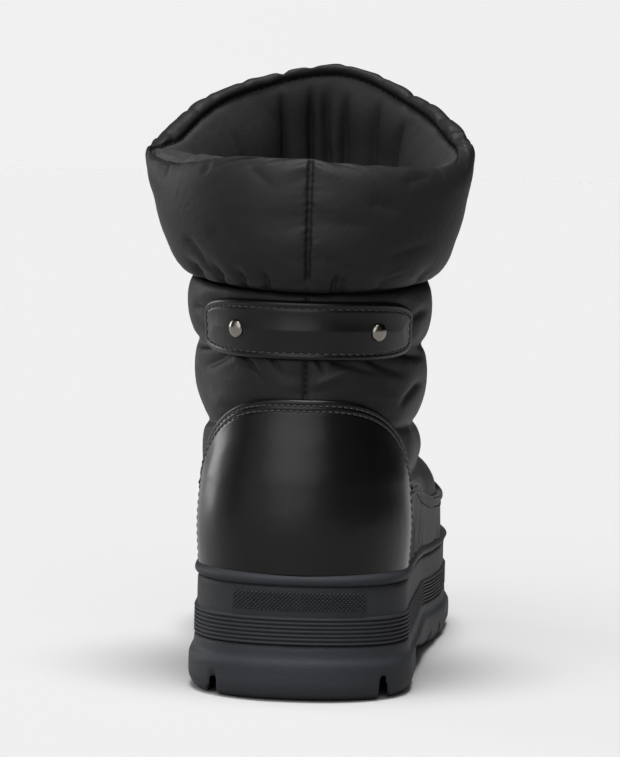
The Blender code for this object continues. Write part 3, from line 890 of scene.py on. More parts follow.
# Wrinkles across the rolled rim: degrees from the back seam, depth and half width.
RIM_WRINKLES = (
    Gather(99.0, 0.5, 1.6),
    Gather(107.0, 0.9, 1.5),
    Gather(119.0, 1.0, 1.8),
    Gather(131.0, 0.5, 1.6),
    Gather(139.0, 1.1, 1.7),
    Gather(154.0, 0.5, 1.8),
    Gather(168.0, 0.4, 1.6),
    Gather(183.0, 0.6, 1.8),
    Gather(193.0, 1.1, 1.6),
    Gather(209.0, 0.6, 1.9),
    Gather(224.0, 0.4, 1.6),
    Gather(233.0, 0.7, 1.7),
    Gather(252.0, 0.5, 1.6),
    Gather(300.0, 0.4, 1.6),
    Gather(322.0, 0.5, 1.8),
    Gather(52.0, 0.4, 1.6),
    Gather(71.0, 0.6, 1.6),
)

# Vertices along the cuff's two seams, with depth, half width and fade of their troughs.
RIM_SEAM_LINE = np.arange(CUFF_COLUMNS + 1) % CUFF_COLUMNS * CUFF_ROW_COUNT + RIM_SEAM_ROW
RIM_TROUGH = (1.3, 0.9, 0.4)
BACK_SEAM_LINE = np.arange(2, RIM_SEAM_ROW - 3)
BACK_TROUGH = (1.6, 0.75, 2.5)

# Rows that the rim's wrinkles and the lining's folds run over, and the fade at their ends. The
# folds have part of their depth already from the simulation.
WRINKLE_ROWS = np.arange(CUFF_FACE_ROW - 1, RIM_SEAM_ROW + 1)
WRINKLE_FADE = 2.5
FOLD_ROWS = np.arange(RIM_SEAM_ROW + 1, HEM_HELD_ROW - 2)
FOLD_FADE = 14.0
FOLD_SHARE = 0.5


def sew_cuff(cuff):
    """Draw the cuff's seams in tight, wrinkle its rim and fold its lining."""
    points = points_of(cuff)
    outs = normals_of(cuff)

    def trough(spots, depth, half_width, fade):
        return Trough(points[spots], outs[spots], depth, half_width, fade)

    press_troughs(cuff, (trough(RIM_SEAM_LINE, *RIM_TROUGH), trough(BACK_SEAM_LINE, *BACK_TROUGH)))
    degrees = np.degrees(column_turns(CUFF_COLUMNS)) % 360.0
    troughs = []
    for folds, rows, share, fade in (
        (RIM_WRINKLES, WRINKLE_ROWS, 1.0, WRINKLE_FADE),
        (LINING_FOLDS, FOLD_ROWS, FOLD_SHARE, FOLD_FADE),
    ):
        for fold in folds:
            column = int(np.argmin(np.abs(degrees - fold.degrees)))
            spots = column * CUFF_ROW_COUNT + rows
            troughs.append(trough(spots, share * fold.depth, fold.half_width, fade))
    press_troughs(cuff, troughs)


# Rows of the upper's quilted face, with its seams on rows of their own, and of its lining.
QUILT_ROWS = (0, 15, 26, 43, 55)
QUILT_LEVELS = (0.0, 0.28, 0.48, 0.785, 1.0)
UPPER_COLUMNS = 240
UPPER_FACE_ROWS = 56
UPPER_LINING_ROWS = 14
UPPER_ROW_COUNT = UPPER_FACE_ROWS + UPPER_LINING_ROWS

# Parts of the upper under leather: margin inside the leather's edges, and how far it is pressed.
COVER_MARGIN = 0.8
STRAP_MARGIN = 1.2
STRAP_COVER = 0.96
STRAP_PRESS = 0.4
TRIM_PRESS = 0.1

# How far the upper starts off its form, with its seams drawn in, and how it swells.
QUILT_DRAW = 1.0
UPPER_SEAM_DRAW = 1.1
UPPER_START = 0.3
UPPER_UNEVEN = 0.35
UPPER_WAVE = 9.0
UPPER_SEED = 8
UPPER_GROWTH = 0.14
UPPER_PRESSURE = 5.0
UPPER_CAP = 4.0

# Where the upper's cloth is cut loose: share of the growth, rows and reach from its seams, and
# the slack under the back strap.
QUILT_LOOSE = 0.18
QUILT_SEAM_LOOSE = 0.5
QUILT_SEAM_ROWS = (5.0, 1.0)
ANKLE_RADIUS = 40.0
UPPER_SEAM_LOOSE = 0.8
UPPER_SEAM_REACH = (8.0, 1.0)
SLACK_HEIGHT = 115.0
SLACK_HALF = 5.0


def upper_rows(row):
    """Level of a row round the upper's wall, and 1 on its lining."""
    lining = row >= UPPER_FACE_ROWS
    level = np.interp(row, QUILT_ROWS, QUILT_LEVELS)
    down = 1.0 - (row - UPPER_FACE_ROWS) / (UPPER_LINING_ROWS - 1.0)
    return np.where(lining, down, level), lining


def make_upper():
    """Padded nylon upper, quilted round the foot and the ankle."""
    def place(turn, row):
        level, lining = upper_rows(row)
        form = upper_form(turn, level)
        return form - upper_normal(turn, level) * (UPPER_WALL * lining)[:, None]

    upper = hoop("quilted_upper", UPPER_COLUMNS, UPPER_ROW_COUNT, place)
    column, row = np.divmod(np.arange(UPPER_COLUMNS * UPPER_ROW_COUNT), UPPER_ROW_COUNT)
    turn = column_turns(UPPER_COLUMNS)[column]
    level, lining = upper_rows(row)
    points = points_of(upper)
    height = points[:, 2]
    back = off_back(turn)

    under_guard = height < guard_top(turn) - COVER_MARGIN
    under_counter = (back < COUNTER_EDGE) & (height < counter_top(turn) - COVER_MARGIN)
    strap_reach = strap_half(turn) - STRAP_MARGIN
    under_strap = (back < STRAP_COVER * STRAP_TURN) & (np.abs(height - STRAP_HEIGHT) < strap_reach)
    quilt_seam = np.isin(row, QUILT_ROWS[1:])
    back_seam = column == 0
    held = lining | under_guard | under_counter | under_strap | quilt_seam | back_seam

    uneven = UPPER_UNEVEN * soft_noise(turn, height, UPPER_WAVE, UPPER_SEED)
    offset = np.where(held, 0.0, UPPER_START + uneven)
    offset[quilt_seam] = -QUILT_DRAW
    offset[back_seam] = -UPPER_SEAM_DRAW
    offset[under_strap] = -STRAP_PRESS
    offset[under_counter | under_guard] = -TRIM_PRESS
    offset[lining] = 0.0
    set_points(upper, points + upper_normal(turn, level) * offset[:, None])

    from_seam = np.min([np.abs(row - seam) for seam in QUILT_ROWS[1:]], axis=0)
    slack = (back < STRAP_TURN) * np.exp(-(((height - SLACK_HEIGHT) / SLACK_HALF) ** 2))
    loose = QUILT_LOOSE + QUILT_SEAM_LOOSE * soft_step(*QUILT_SEAM_ROWS, from_seam)
    loose = np.maximum(loose, UPPER_SEAM_LOOSE * soft_step(*UPPER_SEAM_REACH, back * ANKLE_RADIUS))
    loose = np.maximum(loose, slack)
    loose[lining] = 0.0
    swell(upper, held.astype(float), loose, UPPER_GROWTH, UPPER_PRESSURE, UPPER_CAP)
    return upper


# Leather trim: rows of stitches in from its edge, and the grooves that they draw.
COUNTER_STITCHES = (2.4, 4.4)
STRAP_STITCHES = (2.5,)
GUARD_STITCHES = (4.6,)
STITCH_GROOVE = 0.22
GROOVE_HALF = 0.55

# Rise of the leather's face: share of it at the very edge, crown over the middle and its reach.
EDGE_SHARE = 0.12
COUNTER_CROWN = 0.5
STRAP_CROWN = 1.1
CROWN_REACH = 16.0

# How far leather lies down into its gap and tucks in behind the rand, and thread lies over it.
TRIM_SINK = 0.2
FOOT_TUCK = 0.6
THREAD_LIFT = 0.08

# Patterns: the height that arcs are measured at, thickness, ends, and points along an edge.
COUNTER_MIDDLE = 74.0
COUNTER_THICKNESS = LEATHER + 0.5
STRAP_REACH = 0.997 * STRAP_TURN
PATTERN_TURNS = np.linspace(-1.4, 1.4, 561)
EDGE_SWEEP = np.sin(np.linspace(-pi / 2.0, pi / 2.0, 241))
COUNTER_SIDE_POINTS = 40
STRAP_END_POINTS = 20
ROW_SLACK = 0.15


class Panel:
    """Flat pattern of a leather panel: arc round the boot and height, both in millimetres."""

    def __init__(self, height, edge_turns, edge_heights, thickness):
        spots = upper_form(PATTERN_TURNS, level_at_height(PATTERN_TURNS, height))
        arcs = lengths(spots[:, :2])
        self.arcs = arcs - np.interp(0.0, PATTERN_TURNS, arcs)
        self.thickness = thickness
        self.edge = np.stack([self.arc(edge_turns), edge_heights], axis=-1)

    def arc(self, turn):
        """Arc from the back seam at a turn."""
        return np.interp(turn, PATTERN_TURNS, self.arcs)

    def turn(self, arc):
        """Turn at an arc from the back seam."""
        return np.interp(arc, self.arcs, PATTERN_TURNS)

    def inside(self, turn, height):
        """Distance in from the panel's finished edge."""
        spot = np.stack([self.arc(turn), height], axis=-1)[:, None, :]
        start = self.edge[None, :-1]
        run = self.edge[None, 1:] - start
        share = ((spot - start) * run).sum(-1) / np.maximum((run * run).sum(-1), TINY)
        near = start + run * np.clip(share, 0.0, 1.0)[..., None]
        return np.linalg.norm(spot - near, axis=-1).min(axis=1)

    def row(self, inset, pitch):
        """Evenly spaced turns and heights along a line inside the finished edge."""
        run = np.gradient(self.edge, axis=0)
        run /= np.linalg.norm(run, axis=1, keepdims=True)
        line = self.edge + np.stack([run[:, 1], -run[:, 0]], axis=-1) * inset
        line = line[self.inside(self.turn(line[:, 0]), line[:, 1]) > inset - ROW_SLACK]
        far = lengths(line)
        arc, height = along_line(np.arange(pitch / 2.0, far[-1], pitch), far, line).T
        return self.turn(arc), height


def stitch_grooves(inside, insets):
    """How far rows of stitches draw the leather in, by the distance in from its edge."""
    return STITCH_GROOVE * sum(np.exp(-(((inside - inset) / GROOVE_HALF) ** 2)) for inset in insets)


def leather_rise(panel, turn, height, stitches, crown):
    """Height of the leather's face over the upper, rolled at its edge and sunk at its stitches."""
    inside = panel.inside(turn, height)
    roll = np.clip(1.0 - inside / size("edge_roll"), 0.0, 1.0)
    rise = panel.thickness * (EDGE_SHARE + (1.0 - EDGE_SHARE) * np.sqrt(1.0 - roll ** 2))
    rise += crown * soft_step(stitches[-1], CROWN_REACH, inside)
    return rise - stitch_grooves(inside, stitches)


def trim_surface(turn, height, rise):
    """Point over the upper's form at a height, and the way out from it."""
    level = level_at_height(turn, height)
    normal = upper_normal(turn, level)
    return upper_form(turn, level) + normal * np.asarray(rise)[..., None], normal


def trim_faces(turn, height, rise):
    """Back and face of leather that lies over the upper."""
    back = trim_surface(turn, height, GAP - TRIM_SINK)[0]
    return back, trim_surface(turn, height, GAP + rise)[0]


def counter_panel():
    """Pattern of the heel counter, its finished edge from side to side over the top."""
    turns = COUNTER_EDGE * EDGE_SWEEP
    heights = counter_top(turns)
    foot = rand_top(np.array([COUNTER_EDGE]))[0]
    climb = np.linspace(foot, heights[0], COUNTER_SIDE_POINTS)[:-1]
    side = np.full(len(climb), COUNTER_EDGE)
    turns = np.concatenate([-side, turns, side])
    heights = np.concatenate([climb, heights, climb[::-1]])
    return Panel(COUNTER_MIDDLE, turns, heights, COUNTER_THICKNESS)


def strap_panel():
    """Pattern of the back strap, its finished edge all the way round."""
    turns = STRAP_REACH * EDGE_SWEEP
    half = strap_half(turns)
    left = np.linspace(-half[0], half[0], STRAP_END_POINTS)[1:-1]
    end = np.full(len(left), STRAP_REACH)
    turns = np.concatenate([-end, turns, end, turns[::-1], -end[:1]])
    heights = np.concatenate([left, half, left[::-1], -half[::-1], left[:1]])
    return Panel(STRAP_HEIGHT, turns, STRAP_HEIGHT + heights, STRAP_THICKNESS)


def make_heel_counter(panel):
    """Heel counter of smooth leather with a rolled edge."""
    def place(u, v):
        turn = COUNTER_EDGE * np.sin(pi * (u - 0.5))
        foot = rand_top(turn) - FOOT_TUCK
        height = foot + (counter_top(turn) - foot) * np.sin(pi * v / 2.0)
        return trim_faces(turn, height, leather_rise(panel, turn, height, COUNTER_STITCHES, COUNTER_CROWN))

    return plate("heel_counter_leather", columns=150, rows=110, place=place)


def make_back_strap(panel):
    """Back strap of smooth leather, rolled all round."""
    def place(u, v):
        turn = STRAP_REACH * np.sin(pi * (u - 0.5))
        height = STRAP_HEIGHT + strap_half(turn) * np.sin(pi * (v - 0.5))
        return trim_faces(turn, height, leather_rise(panel, turn, height, STRAP_STITCHES, STRAP_CROWN))

    return plate("back_strap_leather", columns=190, rows=60, place=place)


# The mudguard starts beside the heel counter. Its edge is rolled, and stands over the rest.
GUARD_START = COUNTER_EDGE + 0.006
GUARD_ROLL = 1.5
GUARD_ROLL_RISE = 1.0
GUARD_EDGE = (0.2, 1.0)
GUARD_ROW_POWER = 1.6

# Creases where the mudguard bends: angle from the back seam, half width and height, then waves
# of them: share, count and slant.
Bend = namedtuple("Bend", "back half_width rise waves")
GUARD_BENDS = (
    Bend(1.12, 0.34, 0.55, ((0.6, 41.0, 0.09), (0.4, 67.0, -0.05))),
    Bend(1.95, 0.14, 0.45, ((1.0, 38.0, 0.12),)),
)
BEND_START = 0.12
BEND_FADE = (4.0, 18.0)

# Stitches of the mudguard: how far from its ends, and points that their line is measured at.
GUARD_END = 0.01
GUARD_LINE_POINTS = 2400


def guard_rise(below):
    """Height of the mudguard's face over the upper, by the distance below its rolled edge."""
    pipe = np.sqrt(np.clip(1.0 - ((below - GUARD_ROLL) / GUARD_ROLL) ** 2, 0.0, 1.0))
    flat = LEATHER * soft_step(*GUARD_EDGE, below)
    return np.maximum(flat, (LEATHER + GUARD_ROLL_RISE) * pipe) - stitch_grooves(below, GUARD_STITCHES)


def guard_creases(turn, height):
    """Soft upright creases where the leather bends round the heel and the ball."""
    back = off_back(turn)
    rise = np.zeros(len(back))
    for bend in GUARD_BENDS:
        wave = sum(share * np.sin(back * count + slant * height) for share, count, slant in bend.waves)
        rise += bend.rise * (1.0 + wave) * np.exp(-(((back - bend.back) / bend.half_width) ** 2))
    return rise * soft_step(GUARD_START, GUARD_START + BEND_START, back)


def make_mudguard():
    """Band of patent leather round the foot with a rolled top edge."""
    def place(u, v):
        turn = GUARD_START + (2.0 * pi - 2.0 * GUARD_START) * u
        foot = rand_top(turn) - FOOT_TUCK
        top = guard_top(turn)
        height = foot + (top - foot) * (1.0 - (1.0 - v) ** GUARD_ROW_POWER)
        below = top - height
        creases = guard_creases(turn, height) * soft_step(*BEND_FADE, below)
        return trim_faces(turn, height, guard_rise(below) + creases)

    return plate("mudguard_leather", columns=420, rows=48, place=place)


# One stitch, cut across its length: place along it, thickness and height over the leather.
STITCH_RINGS = (
    (-0.5, 0.35, -0.9),
    (-0.4, 0.85, -0.1),
    (-0.15, 1.0, 0.45),
    (0.15, 1.0, 0.45),
    (0.4, 0.85, -0.1),
    (0.5, 0.35, -0.9),
)
STITCH_SIDES = 6

# Height over the rand at which stitching starts.
STITCH_FOOT = 1.0

# Stitches of the fabric's seams: pitch, radius of the thread and its height over the seam.
BACK_SEAM_THREAD = (2.2, 0.26, 0.35)
RIM_SEAM_THREAD = (2.8, 0.28, 0.15)
SEAM_STITCH_SHARE = 0.72
OPEN_SEAM = (COUNTER_TOP + 0.5, STRAP_HEIGHT - STRAP_HALF + 1.0)


def stitch_mesh(name, rows):
    """Joined thread stitches along rows of points, each with the way out from the surface."""
    angles = 2.0 * pi * np.arange(STITCH_SIDES) / STITCH_SIDES
    verts = []
    faces = []
    for points, normals, length, radius in rows:
        along = np.gradient(points, axis=0)
        along /= np.linalg.norm(along, axis=1, keepdims=True)
        across = np.cross(normals, along)
        for point, run, out, side in zip(points, along, normals, across):
            first = len(verts)
            for place, thick, rise in STITCH_RINGS:
                centre = point + run * place * length + out * rise * radius
                for angle in angles:
                    verts.append(centre + radius * thick * (side * cos(angle) + out * sin(angle)))
            faces += wall_faces(first, len(STITCH_RINGS), STITCH_SIDES)
            faces.append(tuple(range(first, first + STITCH_SIDES)))
            faces.append(tuple(range(len(verts) - STITCH_SIDES, len(verts))))
    piece = mesh_piece(name, verts, faces)
    bpy.ops.object.shade_smooth()
    return piece


def trim_stitches(panel, insets, crown):
    """Rows of stitches inside a leather panel's finished edge."""
    rows = []
    for inset in insets:
        turn, height = panel.row(inset, size("stitch_pitch"))
        keep = height > rand_top(turn) + STITCH_FOOT
        turn = turn[keep]
        height = height[keep]
        rise = GAP + leather_rise(panel, turn, height, insets, crown)
        points, normals = trim_surface(turn, height, rise + THREAD_LIFT)
        rows.append((points, normals, size("stitch_length"), size("thread_radius")))
    return rows


def guard_stitches():
    """Rows of stitches under the mudguard's rolled edge."""
    rows = []
    pitch = size("stitch_pitch")
    start = GUARD_START + GUARD_END
    turn = np.linspace(start, 2.0 * pi - start, GUARD_LINE_POINTS)
    for inset in GUARD_STITCHES:
        rise = GAP + guard_rise(inset)
        far = lengths(trim_surface(turn, guard_top(turn) - inset, rise)[0])
        at = np.interp(np.arange(pitch, far[-1], pitch), far, turn)
        points, normals = trim_surface(at, guard_top(at) - inset, rise + THREAD_LIFT)
        rows.append((points, normals, size("stitch_length"), size("thread_radius")))
    return rows


def seam_stitches(points, normals, pitch, radius, rise):
    """Row of stitches along a seam of a finished fabric."""
    far = lengths(points)
    at = np.arange(pitch / 2.0, far[-1], pitch)
    outs = along_line(at, far, normals)
    outs /= np.linalg.norm(outs, axis=1, keepdims=True)
    return along_line(at, far, points) + outs * rise, outs, pitch * SEAM_STITCH_SHARE, radius


def fabric_stitches(upper, cuff):
    """Stitches of the upper's back seam and of the seam inside the cuff's rim."""
    points = points_of(upper)[:UPPER_FACE_ROWS]
    normals = normals_of(upper)[:UPPER_FACE_ROWS]
    free = (points[:, 2] > OPEN_SEAM[0]) & (points[:, 2] < OPEN_SEAM[1])
    back = seam_stitches(points[free], normals[free], *BACK_SEAM_THREAD)
    points = points_of(cuff)[RIM_SEAM_LINE]
    normals = normals_of(cuff)[RIM_SEAM_LINE]
    return [back, seam_stitches(points, normals, *RIM_SEAM_THREAD)]


# Side wall of the outsole from the floor (share 0) to the midsole: how far it stands out.
OUTSOLE_WALL = Table(
    (
        ("share", "flare"),
        (0.00, -1.6),
        (0.04, -0.2),
        (0.10, 0.9),
        (0.28, 2.2),
        (0.58, 2.2),
        (0.68, 1.9),
        (0.72, 0.8),
        (0.78, 0.5),
        (1.00, 0.3),
    )
)

# Rows of the outsole, closer at the floor, columns round the sole, and the grid that it is
# remeshed on.
OUTSOLE_ROW_COUNT = 40
OUTSOLE_ROW_POWER = 1.3
SOLE_COLUMNS = 240
SOLE_TURNS = 2.0 * pi * np.arange(SOLE_COLUMNS) / SOLE_COLUMNS
TREAD_VOXEL = 0.9

# Tapered channels of the tread: centre, turn from across the boot, length, width and depth.
Channel = namedtuple("Channel", "x y turn length width depth")
TREAD_CHANNELS = (
    Channel(-29.8, 14.0, 90.0, 76.0, 3.8, 9.0),
    Channel(29.8, 14.0, 90.0, 76.0, 3.8, 9.0),
    Channel(-32.0, 141.0, -14.0, 56.0, 6.5, 6.5),
    Channel(36.0, 141.0, 14.0, 56.0, 6.5, 6.5),
    Channel(-32.0, 168.0, -14.0, 56.0, 6.5, 6.5),
    Channel(36.0, 168.0, 14.0, 56.0, 6.5, 6.5),
    Channel(-32.0, 196.0, -14.0, 56.0, 6.5, 6.5),
    Channel(40.0, 196.0, 14.0, 56.0, 6.5, 6.5),
    Channel(-28.0, 224.0, -14.0, 56.0, 6.5, 6.5),
    Channel(44.0, 224.0, 14.0, 56.0, 6.5, 6.5),
    Channel(5.0, 248.0, 0.0, 100.0, 6.0, 9.0),
)
CHANNEL_TAPER = 0.55

# Side view of the hollow under the arch, from the heel's breast to the ball: y and height.
ARCH_PROFILE = (
    (56.0, -5.0),
    (60.0, 11.8),
    (72.0, 11.2),
    (110.0, 6.2),
    (140.0, 2.4),
    (166.0, -0.5),
    (166.0, -5.0),
)
ARCH_HALF_LENGTH = 70.0


def make_outsole():
    """Moulded tread: flared block cut into lugs, with the soft edges of a mould."""
    rings = []
    for share in np.linspace(0.0, 1.0, OUTSOLE_ROW_COUNT) ** OUTSOLE_ROW_POWER:
        rings.append(sole_point(SOLE_TURNS, share * OUTSOLE_SHARE, OUTSOLE_WALL("flare", share)))
    outsole = loft("tread_outsole", rings)
    for cutter in (make_arch(), *map(make_channel, TREAD_CHANNELS)):
        apply_modifier(outsole, "BOOLEAN", operation="DIFFERENCE", solver="EXACT", object=cutter)
        bpy.data.objects.remove(cutter)
    apply_modifier(outsole, "REMESH", mode="VOXEL", voxel_size=TREAD_VOXEL * MM, use_smooth_shade=True)
    apply_modifier(outsole, "SMOOTH", factor=0.5, iterations=4)
    return outsole


def make_arch():
    """Prism that hollows the tread between the heel and the ball."""
    profile = np.array(ARCH_PROFILE)
    count = len(profile)
    ends = []
    for x in (-ARCH_HALF_LENGTH, ARCH_HALF_LENGTH):
        ends.append(np.column_stack([np.full(count, x), profile]))
    caps = [tuple(range(count)), tuple(range(count, 2 * count))]
    return mesh_piece("arch_hollow", np.concatenate(ends), caps + wall_faces(0, 2, count))


def make_channel(channel):
    """Tapered bar that cuts one channel of the tread."""
    alone()
    bpy.ops.mesh.primitive_cube_add(size=1.0)
    cutter = named_primitive("tread_channel")
    for vertex in cutter.data.vertices:
        taper = CHANNEL_TAPER if vertex.co.z > 0.0 else 1.0
        vertex.co.x *= channel.length * MM
        vertex.co.y *= channel.width * taper * MM
        vertex.co.z *= 2.0 * channel.depth * MM
    spot = (np.array([channel.x, channel.y, 0.0]) + HEEL_BACK) * MM
    cutter.data.transform(Matrix.Translation(spot) @ Matrix.Rotation(radians(channel.turn), 4, "Z"))
    return cutter


# Ribs of the midsole and the plain band over them, as shares of its height and its stand-out.
RIB_COUNT = 7
RIB_ROWS = 8
RIB_TOP = 0.48
RIB_FACE = 0.5
RIB_GROOVE_SHARE = 0.16
RIB_TO_BAND = 0.03
BAND_START = 0.01
BAND_ROWS = 16
BAND_FACE = -0.45
BAND_TURN_IN = 0.75
BAND_TURN_START = 0.94

# Knurled panel at the heel: its place on the midsole, its seat and its faded rim.
KNURL_TURN = 0.325
KNURL_FOOT = 0.58
KNURL_TOP = 0.92
KNURL_SEAT = 0.05
KNURL_SINK = 0.15
KNURL_BACK = 0.6
KNURL_SIDE_RIM = 0.03
KNURL_END_RIM = 0.06


def midsole_flare(share):
    """How far the midsole's wall stands out: fine ribs below, a plain band above."""
    phase = np.clip(share / RIB_TOP, 0.0, 1.0) * RIB_COUNT
    groove = np.exp(-(((phase - np.round(phase)) / RIB_GROOVE_SHARE) ** 2))
    ribs = RIB_FACE - size("rib_groove") * groove
    band = BAND_FACE - BAND_TURN_IN * soft_step(BAND_TURN_START, 1.0, share)
    return band + (ribs - band) * soft_step(RIB_TOP + RIB_TO_BAND, RIB_TOP, share)


def midsole_wall(turn, share, out):
    """Point over the midsole's wall at a share of its height."""
    height = OUTSOLE_SHARE + share * (MIDSOLE_SHARE - OUTSOLE_SHARE)
    return sole_point(turn, height, midsole_flare(share) + out)


def inside_rim(share, rim):
    """1 inside a panel, falling to 0 at both of its ends."""
    return soft_step(0.0, rim, share) * soft_step(1.0, 1.0 - rim, share)


def make_midsole():
    """Moulded side wall of the sole with its ribs, and the knurled panel at the heel."""
    ribs = np.linspace(0.0, RIB_TOP, RIB_COUNT * RIB_ROWS + 1)
    band = np.linspace(RIB_TOP + BAND_START, 1.0, BAND_ROWS)
    rings = [midsole_wall(SOLE_TURNS, share, 0.0) for share in (*ribs, *band)]
    rings[0][:, 2] += GAP
    midsole = loft("ribbed_midsole", rings)

    def place(u, v):
        turn = KNURL_TURN * (2.0 * u - 1.0)
        share = KNURL_FOOT + (KNURL_TOP - KNURL_FOOT) * v
        seat = midsole_wall(turn, share, 0.0)
        one = (seat[:, 0] + seat[:, 2]) * pi / size("knurl_pitch")
        two = (seat[:, 0] - seat[:, 2]) * pi / size("knurl_pitch")
        bead = np.minimum(np.abs(np.sin(one)), np.abs(np.sin(two)))
        rise = KNURL_SINK + KNURL_SEAT + size("knurl_depth") * bead
        rise = rise * inside_rim(u, KNURL_SIDE_RIM) * inside_rim(v, KNURL_END_RIM)
        return midsole_wall(turn, share, -KNURL_BACK), midsole_wall(turn, share, rise - KNURL_SINK)

    knurl = plate("knurled_panel", columns=230, rows=46, place=place)
    pick_only(midsole)
    knurl.select_set(True)
    bpy.ops.object.join()
    return midsole


# Rows of the rand, its seat on the midsole and the bulge of its face.
RAND_FACE_ROWS = 16
RAND_ROW_COUNT = 24
RAND_START = 0.02
RAND_FOOT = -1.1
RAND_BULGE = 1.75
RAND_CREST = 0.95
RAND_POWER = 2.4


def make_rand():
    """Moulded lip over the leather's lower edge."""
    span = 1.0 - MIDSOLE_SHARE

    def place(turn, row):
        share = np.clip(row / (RAND_FACE_ROWS - 1.0), 0.0, 1.0)
        bulge = RAND_FOOT + RAND_BULGE * (1.0 - np.abs(2.0 * share - RAND_CREST) ** RAND_POWER)
        rise = RAND_START + (1.0 - RAND_START) * share
        outer = sole_point(turn, MIDSOLE_SHARE + rise * span, bulge)
        down = np.clip((row - RAND_FACE_ROWS) / (RAND_ROW_COUNT - RAND_FACE_ROWS - 1.0), 0.0, 1.0)
        height = sole_height(upper_form(turn, 0.0)[:, 1], MIDSOLE_SHARE + (1.0 - down) * span)
        height = height + GAP * down
        level = level_at_height(turn, height)
        inner = upper_form(turn, level) + upper_normal(turn, level) * GAP
        inner[:, 2] = height
        return np.where((row < RAND_FACE_ROWS)[:, None], outer, inner)

    return hoop("rand_lip", SOLE_COLUMNS, RAND_ROW_COUNT, place)


# Rings of the footbed's edge: height, and how far in from the upper's wall.
INSOLE_RINGS = ((0.0, 0.6), (2.8, 0.6), (3.6, 0.9), (4.0, 1.8))


def make_insole():
    """Felt footbed with a soft edge."""
    rings = []
    for rise, inset in INSOLE_RINGS:
        spot = upper_form(SOLE_TURNS, 0.0) - upper_normal(SOLE_TURNS, 0.0) * (UPPER_WALL + inset)
        spot[:, 2] = feather_height(spot[:, 1]) + rise
        rings.append(spot)
    return loft("felt_footbed", rings)


# Depth of a rivet's seat, the turns among which its place is looked up, and its sharp edges.
RIVET_SEAT = 0.5
RIVET_TURNS = np.linspace(0.0, 0.9, 400)
RIVET_EDGE = 40.0


def make_rivet(name, side, panel):
    """Domed cap of a rivet, seated square on the strap."""
    height = np.full(len(RIVET_TURNS), STRAP_HEIGHT)
    rise = GAP + leather_rise(panel, RIVET_TURNS, height, STRAP_STITCHES, STRAP_CROWN)
    spots, normals = trim_surface(RIVET_TURNS, height, rise)
    k = int(np.argmin(np.abs(spots[:, 0] - RIVET_X)))
    spot = spots[k] * np.array([side, 1.0, 1.0])
    out = normals[k] * np.array([side, 1.0, 1.0])
    alone()
    bpy.ops.mesh.primitive_uv_sphere_add(segments=40, ring_count=24, radius=RIVET_RADIUS * MM)
    rivet = named_primitive(name)
    bpy.ops.object.mode_set(mode="EDIT")
    bpy.ops.mesh.select_all(action="SELECT")
    bpy.ops.mesh.bisect(
        plane_co=(0.0, 0.0, 0.0), plane_no=(0.0, 0.0, -1.0), use_fill=True, clear_outer=True
    )
    bpy.ops.mesh.extrude_region_move(TRANSFORM_OT_translate={"value": (0.0, 0.0, -RIVET_SEAT * MM)})
    bpy.ops.object.mode_set(mode="OBJECT")
    for vertex in rivet.data.vertices:
        if vertex.co.z > 0.0:
            vertex.co.z *= size("rivet_dome") / RIVET_RADIUS
    turned = Vector(out).to_track_quat("Z", "Y").to_matrix().to_4x4()
    rivet.data.transform(Matrix.Translation((spot + HEEL_BACK) * MM) @ turned)
    face_out(rivet)
    bpy.ops.object.shade_smooth_by_angle(angle=radians(RIVET_EDGE))
    return rivet


def linear(code):
    """Linear colour from an sRGB hex value."""
    parts = [int(code[i:i + 2], 16) / 255.0 for i in (1, 3, 5)]
    return tuple(c / 12.92 if c <= 0.04045 else ((c + 0.055) / 1.055) ** 2.4 for c in parts)


def add_node(tree, kind, values=None, links=None, **settings):
    """Add a node with its settings, its socket values and its links."""
    node = tree.nodes.new(kind)
    for name, value in settings.items():
        setattr(node, name, value)
    for name, value in (values or {}).items():
        node.inputs[name].default_value = value
    for name, source in (links or {}).items():
        tree.links.new(source, node.inputs[name])
    return node


def new_material(name, colour, values):
    """Material with one principled shader, its colour and its plain values."""
    material = bpy.data.materials.new(name)
    material.use_nodes = True
    shader = material.node_tree.nodes["Principled BSDF"]
    shader.inputs["Base Color"].default_value = (*colour, 1.0)
    for socket, value in values.items():
        shader.inputs[socket].default_value = value
    return material


# One layer of a surface's relief: its texture, with the grain's size in millimetres, other values
# and settings, and its bump, with a strength and a depth in millimetres.
Relief = namedtuple("Relief", "texture grain values settings strength depth")


def emboss(material, reliefs, sockets=("Normal",)):
    """Lay relief over a material, each layer on top of the one before."""
    tree = material.node_tree
    place = add_node(tree, "ShaderNodeTexCoord").outputs["Object"]
    below = {}
    for relief in reliefs:
        texture = add_node(
            tree,
            relief.texture,
            {"Scale": 1.0 / (relief.grain * MM), **relief.values},
            {"Vector": place},
            **relief.settings,
        )
        bump = add_node(
            tree,
            "ShaderNodeBump",
            {"Strength": relief.strength, "Distance": relief.depth * MM},
            {"Height": texture.outputs[0], **below},
        )
        below = {"Normal": bump.outputs["Normal"]}
    for socket in sockets:
        tree.links.new(below["Normal"], tree.nodes["Principled BSDF"].inputs[socket])
    return material


def woven_nylon(name, colour):
    """Closely woven nylon over wadding: a soft sheen, broken up by fine crinkles."""
    material = new_material(name, colour, {"Roughness": 0.55, "Specular IOR Level": 0.1})
    crinkle = Relief("ShaderNodeTexNoise", 3.2, {"Detail": 3.0, "Roughness": 0.55}, {}, 0.6, 0.35)
    # The weave's threads lie closer than a pixel, so it is drawn as a grain of 0.6 mm.
    weave = Relief("ShaderNodeTexNoise", 0.6, {"Detail": 1.0}, {}, 0.35, 0.1)
    return emboss(material, (crinkle, weave))


